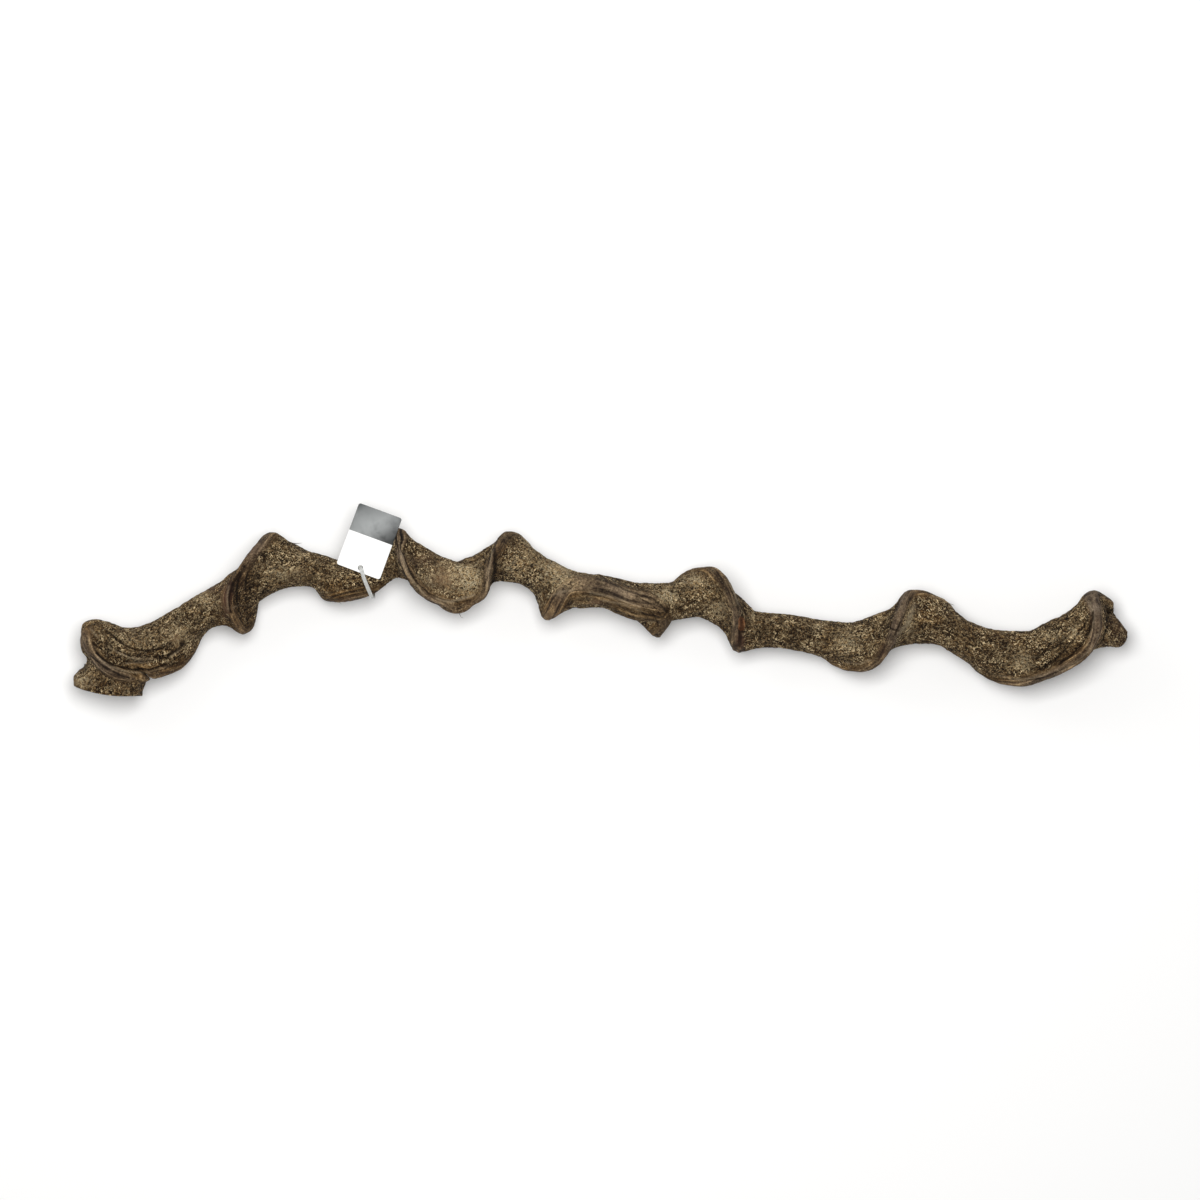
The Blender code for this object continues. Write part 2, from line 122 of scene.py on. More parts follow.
# The stem without its flange: axis x, y, z, then half its width and half its depth, in mm from the datum.
STEM = [
    (108, 696, 42, 34.2, 25), (108, 684, 42, 35.3, 25), (112.5, 676, 42, 32, 24), (115, 668, 43, 26, 23),
    (112, 656, 44, 31, 24), (112, 646, 44, 37.3, 26), (118, 643, 44, 35.5, 26), (124, 643, 44, 26, 25),
    (130, 644, 44, 17, 24), (138, 643, 43, 15.5, 22), (155, 638, 43, 15, 20), (178, 627, 43, 17, 20),
    (206, 610, 43, 17, 20), (233, 595, 42, 17, 20), (262, 577, 42, 18.5, 19), (290, 569, 42, 17.5, 18),
    (310, 569, 42, 15.5, 17), (340, 577, 42, 16, 17), (368, 573, 42, 16.5, 17), (395, 560, 42, 16.5, 17),
    (412, 562, 42, 17, 17), (430, 571, 42, 17.5, 17), (454, 580, 42, 17.5, 17), (475, 573, 42, 17.5, 17),
    (495, 564.5, 42, 16, 17), (518, 565, 42, 16.5, 17), (545, 576, 42, 16, 17), (575, 588, 42, 15, 17),
    (606, 590.5, 42, 13, 16), (638, 598.5, 42, 14, 16), (670, 599, 42, 15, 17), (700, 597.5, 42, 17, 18),
    (728, 610.5, 42, 17.5, 18), (750, 627.5, 42, 16.5, 18), (790, 632, 42, 16.5, 17),
    (825, 638, 42, 17, 17), (852, 641, 42, 18, 18), (880, 633, 42, 18, 18), (910, 626, 42, 17.5, 17),
    (940, 627.5, 42, 16, 18), (966, 640, 42, 17.5, 19), (1000, 651, 42, 20, 20), (1030, 651, 42, 19.5, 20),
    (1062, 638, 42, 19.5, 19), (1095, 630, 42, 18, 18), (1108, 632.5, 42, 14, 17),
    (1117, 634, 42, 11.5, 15), (1122, 635, 42, 9.5, 12), (1125.5, 634.5, 42, 6, 8), (1127, 635, 42, 1.5, 3),
]
# The flange's rim, point by point: x, y, z, then how far its two flanks spread.
RIM_LEFT = [
    (144, 648, 16, 9, 9), (129, 654, 4, 9, 9), (114, 657, -3, 9, 10), (100, 653, 4, 9, 9),
    (89, 647, 22, 9, 9), (83, 639.5, 42, 9, 9), (86, 636, 58, 10, 9), (90.5, 650, 69, 10, 8),
    (99, 661, 77, 11, 8), (108, 669, 80, 12, 8), (120, 675, 77, 14, 8), (134, 678, 70, 16, 9),
    (149, 679, 61, 16, 10), (164, 676, 52, 14, 10), (179, 670, 42, 12, 10), (191, 656, 28, 10, 10),
    (198, 637, 16, 9, 9), (207, 618, 10, 9, 9), (216, 602, 12, 9, 9), (224, 594, 20, 9, 9),
]
RIM_MAIN = [
    (256, 594, 18, 9, 8), (253, 603, 20, 9, 8), (253.5, 614, 24, 9, 8), (252, 627.5, 31, 9, 8),
    (245, 634, 44, 9, 9), (239, 626.5, 58, 5, 9), (233.5, 614, 70, 5.5, 8), (229, 600, 78, 10, 8),
    (233, 586, 82, 8, 8), (242, 573, 80, 9, 8), (251, 556, 72, 10, 8), (262, 541, 60, 11, 9),
    (270, 532, 46, 10, 9), (281, 539.5, 32, 8, 9), (292, 545, 20, 8, 9), (301, 552, 8, 8, 9),
    (309, 567, 3, 9, 9), (318, 585, 6, 9, 9), (326, 600, 24, 9, 10), (338, 602, 42, 14, 11),
    (352, 600, 54, 18, 10), (366, 596, 54, 16, 10), (377, 588, 44, 10, 10), (384, 574, 24, 8, 8),
    (389, 557, 8, 8, 8), (395, 543, 14, 8, 8), (398, 533, 30, 8, 7), (398, 528, 44, 8, 5),
    (399, 538, 62, 8, 4.5), (400.5, 552, 76, 8, 4.5), (404, 566, 81, 9, 5.5), (411, 580, 80, 9, 8),
    (418, 590, 74, 10, 9), (427, 599, 64, 11, 9), (442, 606, 57, 12, 10), (458, 613.5, 53, 8, 10),
    (470, 606, 57, 11, 9), (481, 600, 63, 10, 8), (487, 590, 72, 9, 7), (488, 576, 81, 8, 7),
    (491.5, 561, 78, 5, 7), (497, 548, 68, 4.5, 8), (502.5, 536, 54, 6, 9), (509, 531, 42, 8, 9),
    (517, 534, 28, 8, 9), (525, 548, 8, 8, 9), (532, 568, -3, 9, 10), (538, 590, 8, 10, 9),
    (542, 607, 22, 10, 9), (545, 620, 42, 10, 9), (550, 614, 60, 10, 11), (556, 602, 74, 9, 15),
    (565, 590, 80, 9, 20), (580, 582, 82, 9, 23), (600, 584, 82, 9, 20), (618, 591, 81, 9, 20),
    (633, 597, 80, 9, 25), (648, 600, 80, 9, 28), (657, 605, 78, 8, 26), (663, 614, 71, 8, 21),
    (663, 626, 59, 8, 15), (658, 637.5, 44, 8, 15.5), (660, 632, 26, 8, 8), (665, 616, 10, 8, 8),
    (672, 595, 4, 8, 8), (680, 579, 12, 8, 8), (690, 571, 28, 9, 9), (701, 567, 42, 9, 9),
    (712, 567, 56, 8, 10), (721, 574, 70, 7, 10), (728, 585, 78, 7, 8), (733, 598, 82, 6, 8),
    (736.5, 612, 79, 6, 6.5), (736.5, 628, 69, 6, 7), (734.8, 646.5, 55, 7, 7.5), (736, 652, 42, 8, 7.5),
    (745, 648, 24, 9, 9), (757, 641, 12, 10, 10), (776, 632, 9, 10, 10), (798, 630, 9, 10, 10),
    (813, 640, 12, 10, 10), (826, 655, 18, 10, 10), (838, 666, 26, 10, 10), (850, 671, 38, 10, 10),
    (863, 672, 48, 11, 10), (877, 665, 58, 11, 7), (886, 652, 70, 9, 7), (892, 637, 79, 8, 8),
    (896, 622, 83, 8, 8), (900, 609, 80, 7, 8), (905, 597, 68, 8, 9), (910, 590, 54, 9, 9),
    (920, 590, 44, 9, 10), (933, 595, 34, 9, 10), (944, 601, 22, 8, 9), (951, 613, 8, 8, 9),
    (959, 632, -3, 10, 10), (970, 655, 8, 9, 9), (981, 671, 22, 10, 10), (993, 680, 36, 11, 10),
    (1007, 685, 46, 12, 11), (1023, 686, 54, 12, 11), (1038, 681, 59, 12, 11), (1053, 676, 62, 12, 10),
    (1068, 668, 65, 12, 10), (1082, 659, 69, 11, 9), (1091, 645.5, 75, 10, 8), (1096, 626, 79, 10, 8),
    (1095, 608, 73, 9, 8), (1091, 594.5, 62, 9, 8), (1094, 590, 48, 11, 8), (1107, 597, 38, 9, 7),
    (1112, 601, 32, 7, 3), (1110, 607, 24, 6, 3),
]
# Cuts seen from above: half width and depth in mm, then the run's x, y points.
# A ridge has a depth below zero.
STROKES = [
    (1.3, 1.5, (155, 657), (170, 655), (184, 646)),
    (1.0, 1.0, (94, 643), (110, 653), (129, 662), (149, 661), (170, 656)),
    (0.9, 0.8, (106, 640), (118, 650), (134, 656), (156, 656)),
    (1.1, 1.0, (92, 656), (104, 665), (118, 673), (131, 678)),
    (1.0, 1.2, (112, 633), (122, 643), (138, 650), (156, 651), (172, 643)),
    (1.0, 1.2, (98, 653), (112, 663), (130, 669), (150, 669.5), (170, 663), (186, 652)),
    (1.0, 0.9, (152, 672.5), (165, 669), (178, 662)),
    (1.2, 2.2, (241, 573), (236, 581), (232, 590), (231, 600), (231.5, 612)),
    (1.6, -1.5, (224.5, 578), (228, 576.5), (232, 576)),
    (0.9, -0.9, (233, 594), (232.3, 602), (232.5, 610)),
    (0.8, -0.8, (230.5, 608), (242, 604.6), (250, 605.5)),
    (1.0, 1.0, (246, 566), (240, 580), (238, 595), (240, 612)),
    (0.9, 0.9, (256, 556), (249, 572), (246, 590)),
    (0.9, 1.0, (401, 531), (404, 548), (407, 562), (412, 573), (419, 584), (430, 594), (444, 600),
     (457, 602)),
    (0.8, 0.8, (396, 534), (399, 552), (401, 565), (406, 577), (413, 588), (424, 599), (440, 606)),
    (0.8, 0.8, (457, 603), (470, 600), (481, 591), (487, 580), (489, 566), (490, 552)),
    (1.6, 1.8, (494, 549), (496, 560), (496, 572), (493, 582)),
    (0.8, 0.8, (485, 590), (483, 580), (484, 566), (487, 552)),
    (0.6, 0.6, (581, 579), (584, 591), (588, 602)),
    (0.9, 1.1, (636, 596.5), (645, 596), (654, 599.5), (662, 606), (667, 613)),
    (0.7, 0.7, (632, 600), (642, 600), (650, 603.5), (657, 609.5), (662, 618)),
    (0.7, 0.6, (630, 604), (640, 604.5), (648, 609), (654, 616), (658, 624)),
    (0.7, 0.6, (632, 609), (640, 611), (646, 616), (651, 624)),
    (0.8, 0.9, (717, 572), (724, 583), (729, 594), (733, 607)),
    (0.8, 0.9, (722, 575), (730, 588), (736, 601), (739, 614)),
    (1.8, 1.6, (740, 631), (740, 638), (739, 646)),
    (2.6, 1.2, (741.3, 619), (741.6, 624), (741.2, 629)),
    (0.9, 1.0, (910, 597), (906, 610), (900, 622), (893, 636)),
    (0.9, 1.4, (886, 627), (892, 629.5), (898.5, 631)),
    (0.7, 0.6, (899, 596), (894, 610), (888, 624), (881, 640)),
    (0.6, 0.5, (904, 596), (899, 611), (893, 624)),
    (1.5, -1.9, (938, 601.5), (945, 602.5), (951.5, 605)),
    (1.2, -1.2, (952, 611), (958, 614.5)),
    (1.4, -1.3, (878.5, 616.5), (884, 614)),
    (0.7, 0.7, (889, 634), (885, 645), (878, 656)),
    (1.7, 1.6, (1040, 668.5), (1047, 665), (1053, 660)),
    (1.1, 1.3, (1052, 662), (1061, 652), (1071, 641), (1083, 626)),
    (1.2, 1.2, (1036, 658), (1044, 652), (1049, 643)),
    (1.2, 1.4, (1058, 664), (1070, 655), (1081, 643), (1088, 630), (1091, 612)),
    (0.9, 0.9, (1046, 655), (1056, 646), (1068, 634)),
    (0.9, 0.9, (1020, 682), (1040, 678), (1056, 672), (1074, 663), (1086, 654)),
    (0.9, 1.0, (1099, 600), (1104, 602), (1110, 603.5)),
    (1.2, 1.2, (1102, 640), (1106, 628), (1107, 616)),
    (1.5, 3.2, (1108, 611.5), (1113, 611.5), (1118, 612.5)),
    (1.8, -2.4, (1108, 602), (1113, 603.5), (1117, 605)),
]
# Broad swells (below zero) and dips that carry the lumpy outline, in the same terms.
SWELLS = [
    (5.0, -3.5, (1118, 645), (1123, 642)), (4.5, 4.5, (73.5, 668), (79, 664), (84, 661.5)),
    (3.5, 3.0, (143.5, 698), (143, 690)), (6.0, -3.0, (85, 627), (83.5, 638), (84, 650)),
    (5.0, 4.5, (404, 546), (411, 551), (418, 555)), (6.0, 4.0, (462, 562), (470, 560), (479, 554)),
    (7.0, -1.8, (452, 563), (460, 563)),
]
# Pale dusty bark seen from above: x, y, spread along x and along y in mm, strength.
DUSTY = [
    (450, 578, 30, 13, 0.45), (471, 578, 9, 12, 0.9), (461, 568, 6, 4, 0.7), (556, 572, 17, 11, 1.0),
    (571, 584, 12, 6, 0.6), (693, 580, 11, 7, 0.8), (667, 597, 10, 7, 0.8), (717, 609, 8, 7, 0.6),
    (753, 617, 5, 4, 0.6), (817, 626, 6, 5, 0.6), (847, 643, 12, 11, 0.6), (908, 620, 5, 13, 0.9),
    (1050, 636, 8, 5, 0.6), (1072, 633, 7, 6, 0.8), (1021, 662, 9, 8, 0.6), (205, 600, 9, 8, 0.7),
    (178, 632, 12, 10, 0.35), (82, 680, 9, 6, 0.8), (283, 573, 7, 6, 0.5), (298, 574, 6, 5, 0.4),
    (303, 556, 6, 4, 0.4), (461, 568, 7, 4, 0.7), (472, 582, 8, 6, 0.7), (511, 566, 9, 8, 0.5),
    (666, 597, 7, 5, 0.7), (345, 570, 14, 7, 0.2), (525, 553, 12, 12, 0.3), (590, 600, 7, 4, 0.3),
    (270, 570, 12, 8, 0.3), (140, 640, 24, 9, 0.25),
]
# Painted shade in the hollows between the ridges, in the same terms.
SHADED_HOLLOWS = [
    (195, 630.5, 5.5, 3.8, 1.0), (241, 594, 8, 20, 1.0), (243, 614, 10, 14, 1.0), (252, 570, 8, 14, 0.6),
    (668, 607.5, 5, 5.5, 0.9), (252, 594, 7, 18, 0.5), (770.5, 647, 2.2, 1.6, 1.0), (500, 566, 5, 16, 0.6),
    (499, 579, 5, 6, 0.8), (742, 604, 4, 12, 0.45), (897, 624, 3, 3, 0.9), (1063, 650, 8, 6, 0.2),
    (900, 660, 10, 5, 0.2), (253, 626, 6, 7, 0.5), (418, 558, 6, 7, 0.35), (424, 580, 6, 6, 0.35),
    (655, 600, 5, 3, 0.5), (130, 686, 10, 5, 0.35), (380, 584, 8, 6, 0.4), (552, 606, 4, 7, 0.35),
    (182, 655, 8, 6, 0.3),
]
# Stretches of rim worn smooth and grey, in the same terms.
GREYED = [
    (893, 612, 16, 30, 0.9), (1092, 620, 16, 42, 0.8), (1050, 672, 30, 14, 0.5), (560, 590, 20, 16, 0.4),
    (620, 592, 40, 20, 0.4), (735, 610, 14, 40, 0.3), (255, 545, 14, 16, 0.5), (110, 663, 26, 12, 0.5),
    (84, 640, 6, 16, 0.5), (402, 555, 8, 22, 0.5), (430, 603, 16, 10, 0.4), (490, 570, 6, 24, 0.5),
]
# Smooth reddish bark seen from above, in the same terms.
REDDISH = [
    (227, 602, 4, 17, 1.0), (232, 592, 2.5, 9, 0.7), (212, 588, 8, 4, 0.6), (246, 552, 7, 12, 0.4),
    (440, 579, 11, 9, 0.35), (740, 640, 4, 9, 1.0), (1118, 628, 9, 14, 0.4), (352, 604, 16, 5, 0.4),
    (596, 602, 6, 3, 0.6), (572, 566, 8, 5, 0.3), (882, 652, 6, 9, 0.3), (253, 548, 6, 8, 0.45),
    (422, 560, 12, 6, 0.4),
]
# Bare tan wood where the bark has rubbed thin, in the same terms.
RUBBED = [
    (444, 577, 13, 13, 1.0), (176.5, 640, 5.5, 6.5, 0.8), (425, 556, 9, 4, 0.5), (556, 570, 9, 5, 0.6),
    (205, 596, 9, 5, 0.35), (76, 682, 4, 5, 0.5), (86, 684, 7, 5, 0.5), (595, 602.5, 4, 2.5, 0.7),
    (296, 574, 9, 6, 0.35),
]
# Pale lines seen from above, partly lighter bast and loose fibres, partly painted highlight along ridge
# crests: half width in mm, strength, then the run's x, y points.
PALE = [
    (0.8, 1.0, (170.5, 656.8), (175, 654), (180, 650)), (0.9, 0.7, (493, 549), (490.5, 560), (488.3, 573)),
    (1.3, 0.8, (436, 597), (444, 600.5), (452, 601.5), (463, 598.5), (474, 595)),
    (1.8, 0.9, (913.6, 606), (906, 624), (898, 633)), (0.7, 0.7, (233.5, 607.5), (241, 605), (249, 604.5)),
    (1.0, 0.5, (230, 586), (228.6, 597), (229.5, 610)), (0.8, 0.6, (426, 577), (430, 581), (433, 585)),
    (0.9, 0.5, (401, 545), (405, 566), (413, 581), (424, 593)),
    (0.8, 0.6, (150, 662), (139, 662), (128, 663)), (0.8, 0.5, (120, 652), (130, 657), (142, 659)),
    (1.0, 0.5, (92, 628), (95, 633), (99, 637)),
    (1.0, 0.4, (110, 646.5), (122, 654), (138, 659), (158, 658.5)),
    (1.0, 0.4, (100, 658), (113, 666.5), (130, 672), (150, 672.5), (169, 666.5)),
    (0.9, 0.5, (549, 597), (560, 592), (574, 590)), (0.8, 0.5, (602, 600), (622, 604), (641, 611)),
    (0.8, 0.5, (590, 592), (615, 598), (640, 607)), (0.9, 0.5, (1060, 671), (1078, 661), (1090, 648)),
    (0.8, 0.5, (1000, 676), (1020, 680), (1040, 676)), (0.8, 0.6, (728, 581), (734, 593), (737, 604)),
    (0.8, 0.5, (845, 662), (858, 664), (870, 660)), (0.9, 0.5, (1089, 602), (1092, 618), (1088, 636)),
]
# One reddish scar on the rim, in the same terms.
SCAR = [(3.4, 1.0, (741.3, 620.0), (741.6, 624), (741.2, 628.0))]


def placed(stations):
    """Stations in mm from the datum -> points in the part's own axes, still in mm."""
    return np.array([(x - DATUM_X, DATUM_Y - y, z) for x, y, z in stations])


def run_of(points):
    """Distance run along a chain of points up to each of them."""
    return np.concatenate([[0], np.cumsum(np.linalg.norm(np.diff(points, axis=0), axis=1))])


def unit(vectors):
    """The vectors at length 1."""
    return vectors / np.linalg.norm(vectors, axis=-1, keepdims=True)


def cubic(t, h, a, m, b, n):
    """(2 t^3 - 3 t^2 + 1) a + (t^3 - 2 t^2 + t) h m + (3 t^2 - 2 t^3) b + (t^3 - t^2) h n.

    The curve goes from a to b over a distance h, and its slopes there are m and n.
    """
    return ((2 * t**3 - 3 * t**2 + 1) * a + (t**3 - 2 * t**2 + t) * h * m
            + (3 * t**2 - 2 * t**3) * b + (t**3 - t**2) * h * n)


def hermite(at, values, x):
    """Cubic through the stations that never overshoots them: end slopes are harmonic means of the chords."""
    at, values = np.asarray(at, float), np.asarray(values, float)
    step = np.diff(at)[:, None]
    chord = np.diff(values, axis=0) / step
    w1, w2 = 2 * step[1:] + step[:-1], step[1:] + 2 * step[:-1]
    same = chord[:-1] * chord[1:] > 0
    low = np.where(same, chord[:-1], 1.0)
    high = np.where(same, chord[1:], 1.0)
    inner = np.where(same, (w1 + w2) / (w1 / low + w2 / high), 0.0)
    slope = np.concatenate([chord[:1], inner, chord[-1:]])
    i = np.clip(np.searchsorted(at, x) - 1, 0, len(at) - 2)
    h = step[i]
    t = ((x - at[i]) / h[:, 0])[:, None]
    return cubic(t, h, values[i], slope[i], values[i + 1], slope[i + 1])


def soften(rows, step, width):
    """Moving mean with a bell weight of the given width, both ends held by mirroring."""
    reach = max(1, int(3.5 * width / step))
    weight = np.exp(-0.5 * (np.arange(-reach, reach + 1) * step / width) ** 2)
    weight /= weight.sum()
    padded = np.concatenate([2 * rows[:1] - rows[reach:0:-1], rows, 2 * rows[-1:] - rows[-2:-reach - 2:-1]])
    return np.stack([np.convolve(padded[:, j], weight, "valid") for j in range(rows.shape[1])], 1)


def path(rows, step, width):
    """Stations in mm from the datum -> an even run of softened points in the part's own axes, still in mm."""
    rows = np.array(rows, float)
    rows[:, :3] = placed(rows[:, :3])
    at = run_of(rows[:, :3])
    t = np.linspace(0, at[-1], int(at[-1] / step) + 1)
    return t, soften(hermite(at, rows, t), t[1] - t[0], width)


def stem_frame():
    """The stem's axis with its cross-section directions, which turn slowly round the bend at the cut stub."""
    t, stem = path(STEM, STEM_STEP, STEM_EASE)
    step = t[1] - t[0]
    course = np.gradient(stem[:, :3], t, axis=0)
    slow, quick = soften(course, step, SLOW_EASE), soften(course, step, QUICK_EASE)
    near = (1 / (1 + np.exp((t - STUB_BEND) / STUB_FADE)))[:, None]
    along = unit(slow * near + quick * (1 - near))
    side = unit(np.cross([0.0, 0.0, 1.0], along))
    return t, stem, along, side, np.cross(along, side)


def rim_on_stem(rows, axes):
    """Each rim point over the unrolled stem: distance along it, angle, reach from the axis, two spreads.

    The nearest section is where the arm from the axis is squarest to the stem, which is
    where |arm . along| + 0.15 |arm| is least.
    """
    t, stem, along, side, front = axes
    rim = path(rows, RIM_STEP, RIM_EASE)[1]
    arm = rim[:, None, :3] - stem[None, :, :3]
    i = (np.abs((arm * along).sum(2)) + 0.15 * np.linalg.norm(arm, axis=2)).argmin(1)
    arm = arm[np.arange(len(rim)), i]
    across, up = (arm * side[i]).sum(1), (arm * front[i]).sum(1)
    place = np.stack([t[i], np.unwrap(np.arctan2(across, up)), np.hypot(across, up), rim[:, 3], rim[:, 4]], 1)
    place[:, :3] = soften(place[:, :3], RIM_STEP, RIM_SETTLE)
    return place


def bare_vine(sections, around, angles=200):
    """Grid of points in mm on the vine without its bark relief, and what each point knows of the flange.

    The stem is an oval, 1 / sqrt((sin a / width)^2 + (cos a / depth)^2). The flange raises it to the rim's
    reach, falling off with the distance q from the rim over the unrolled bark as 1 / (1 + q^2.4). A section
    is then shared out again between even angle and even girth, so that the flanks get enough columns.
    """
    axes = stem_frame()
    t, stem, along, side, front = axes
    rims = [rim_on_stem(RIM_LEFT, axes), rim_on_stem(RIM_MAIN, axes)]
    crowd = np.zeros(len(t))
    for rim in rims:
        run = np.hypot(np.gradient(rim[:, 0]), CROWDED * np.gradient(rim[:, 1]))
        crowd += np.histogram(rim[:, 0], bins=np.append(t, t[-1] + STEM_STEP), weights=run)[0]
    crowd = 1.0 + 0.35 * soften(crowd[:, None], STEM_STEP, 4.0)[:, 0] / STEM_STEP
    share = np.concatenate([[0], np.cumsum((crowd[1:] + crowd[:-1]) / 2)])
    rows = np.interp(np.linspace(0, share[-1], sections), share, t)
    take = lambda a: np.stack([np.interp(rows, t, a[:, j]) for j in range(a.shape[1])], 1)
    stem, side, front = take(stem), take(side), take(front)
    angle = np.linspace(-math.pi, math.pi, angles, endpoint=False)
    wide, deep = stem[:, 3][:, None], stem[:, 4][:, None]
    body = 1 / np.sqrt((np.sin(angle) / wide) ** 2 + (np.cos(angle) / deep) ** 2)
    raised, off, run_at = np.zeros_like(body), np.full_like(body, NO_RIM), np.zeros_like(body)
    spread_at = np.full_like(body, RIM_BARK)
    start = 0.0
    for rim in rims:
        go, turn = np.gradient(rim[:, 0]), UNROLLED * np.gradient(rim[:, 1])
        size = np.hypot(go, turn) + 1e-9
        passed = start + np.cumsum(size)
        start += NEXT_RIM
        for i in np.flatnonzero(np.abs(rows[:, None] - rim[None, :, 0]).min(1) < RIM_NEAR):
            near = np.abs(rim[:, 0] - rows[i]) < RIM_NEAR
            r = rim[near]
            ahead = (rows[i] - r[:, 0])[:, None]
            round_it = UNROLLED * ((angle[None, :] - r[:, 1][:, None] + math.pi) % (2 * math.pi) - math.pi)
            cross = (go[near, None] * round_it - turn[near, None] * ahead) / size[near, None]
            lean = 0.5 + 0.5 * np.tanh(cross / RIM_LEAN)
            away = np.hypot(ahead, round_it)
            reach = r[:, 3][:, None] * lean + r[:, 4][:, None] * (1 - lean)
            gain = np.maximum(r[:, 2][:, None] - body[i][None, :], 0)
            lift = gain / (1 + (away / reach) ** RIM_FALL)
            best = lift.argmax(0)
            chosen = (np.take_along_axis(a, best[None], 0)[0] for a in (lift, gain, away, reach))
            top, height, flat, flank = chosen
            better = top > raised[i]
            raised[i] = np.where(better, top, raised[i])
            off[i] = np.where(better, np.hypot(flat, height - top), off[i])
            run_at[i] = np.where(better, passed[near][best], run_at[i])
            spread_at[i] = np.where(better, flank, spread_at[i])
    radius = body + raised
    wrap = lambda a: np.concatenate([a, a[:, :1]], 1)
    closed, ring = wrap(radius), np.append(angle, math.pi)
    chord = np.hypot(np.diff(closed, axis=1), (closed[:, 1:] + closed[:, :-1]) / 2 * (ring[1] - ring[0]))
    girth = np.concatenate([np.zeros((sections, 1)), np.cumsum(chord, 1)], 1)
    girth /= girth[:, -1:]
    girth = soften(girth, 1.0, 3.0)
    mixed = 0.35 * (ring + math.pi) / (2 * math.pi) + 0.65 * girth
    even = np.linspace(0, 1, around, endpoint=False)
    at = np.stack([np.interp(even, m, ring) for m in mixed])
    pick = lambda a: np.stack([np.interp(b, ring, c) for b, c in zip(at, wrap(a))])
    radius, off, run_at, spread_at = pick(radius), pick(off), pick(run_at), pick(spread_at)
    grid = (stem[:, None, :3] + (radius * np.cos(at))[..., None] * front[:, None, :]
            + (radius * np.sin(at))[..., None] * side[:, None, :])
    askew = np.clip((STUB_TURN - DATUM_X - grid[..., 0]) / STUB_SPAN, 0, 1) ** 2
    grid[..., 1] += STUB_CUT * askew * np.clip(1 - rows / STUB_LENGTH, 0, 1)[:, None]
    return grid, np.broadcast_to(rows[:, None], at.shape), at, off, run_at, spread_at


def lattice(x, y, z, seed):
    """Smooth random field, 0 to 1: hashed whole-number corners, blended by 3 f^2 - 2 f^3 on each axis."""
    cell = [np.floor(c).astype(np.int64) for c in (x, y, z)]
    f = [c - k for c, k in zip((x, y, z), cell)]
    f = [c * c * (3 - 2 * c) for c in f]
    total = 0.0
    for corner in range(8):
        d = (corner & 1, corner >> 1 & 1, corner >> 2 & 1)
        h = ((cell[0] + d[0]) * 374761393 + (cell[1] + d[1]) * 668265263 + (cell[2] + d[2]) * 915488749
             + seed * 1274126177) & 0xFFFFFFFF
        h = ((h ^ (h >> 13)) * 1103515245) & 0xFFFFFFFF
        h = (h ^ (h >> 16)) & 0xFFFF
        weight = 1.0
        for c, k in zip(f, d):
            weight = weight * (c if k else 1 - c)
        total = total + weight * h / 65535.0
    return total


def layered(where, size, seed, layers=2):
    """Sum of lattice fields, each twice as fine and half as strong as the last, scaled back to 0 to 1."""
    x, y, z = np.moveaxis(where / np.array(size), -1, 0)
    total = sum(lattice(x * 2**k, y * 2**k, z * 2**k, seed + k) / 2**k for k in range(layers))
    return total / (2 - 2.0 ** (1 - layers))


def ridged(where, size, seed):
    """Sharp crests along the lines where a layered field f passes its middle: 1 - |2 f - 1|."""
    return 1 - np.abs(2 * layered(where, size, seed) - 1)


def outward(grid):
    """Unit normals of a grid closed round its second axis: across product of its two central differences."""
    down = np.gradient(grid, axis=0)
    over = np.roll(grid, -1, 1) - np.roll(grid, 1, 1)
    normal = np.cross(over, down)
    middle = grid.mean(1, keepdims=True)
    flip = np.sign((normal * (grid - middle)).sum(2).mean())
    return flip * normal / (np.linalg.norm(normal, axis=2, keepdims=True) + 1e-12)


def traced(table):
    """Sum of strength * exp(-(d / half width)^2), d being the floor-plane distance from a run."""
    total = 0.0
    for half_width, strength, *run in table:
        run = np.array(run, float)
        least = np.full(px.shape, 1e9)
        for a, b in zip(run[:-1], run[1:]):
            step = b - a
            u = np.clip(((px - a[0]) * step[0] + (py - a[1]) * step[1]) / (step @ step), 0, 1)
            least = np.minimum(least, np.hypot(px - a[0] - u * step[0], py - a[1] - u * step[1]))
        total = total + strength * np.exp(-(least / half_width) ** 2)
    return total


def dabbed(table):
    """Sum of strength * exp(-(dx / a)^2 - (dy / b)^2) over the table's patches."""
    return sum(k * np.exp(-((px - cx) / a) ** 2 - ((py - cy) / b) ** 2) for cx, cy, a, b, k in table)


grid, along_mm, angle, off_rim, rim_run, flank_reach = bare_vine(SECTIONS, ROUND)
normal = outward(grid)
px, py = grid[..., 0] + DATUM_X, DATUM_Y - grid[..., 1]
seen = 1 / (1 + np.exp(-(grid[..., 2] - UPPER_FROM) / 4.0)) / (1 + np.exp(-(normal[..., 2] + 0.15) / 0.1))
close = np.exp(-(off_rim / RIM_BARK) ** 2)
flank = np.exp(-(off_rim / (1.3 * flank_reach)) ** 2)
on_stem = np.stack([STEM_RADIUS * np.cos(angle), STEM_RADIUS * np.sin(angle), along_mm], -1)
on_rim = np.stack([off_rim, rim_run, 0 * off_rim], -1)

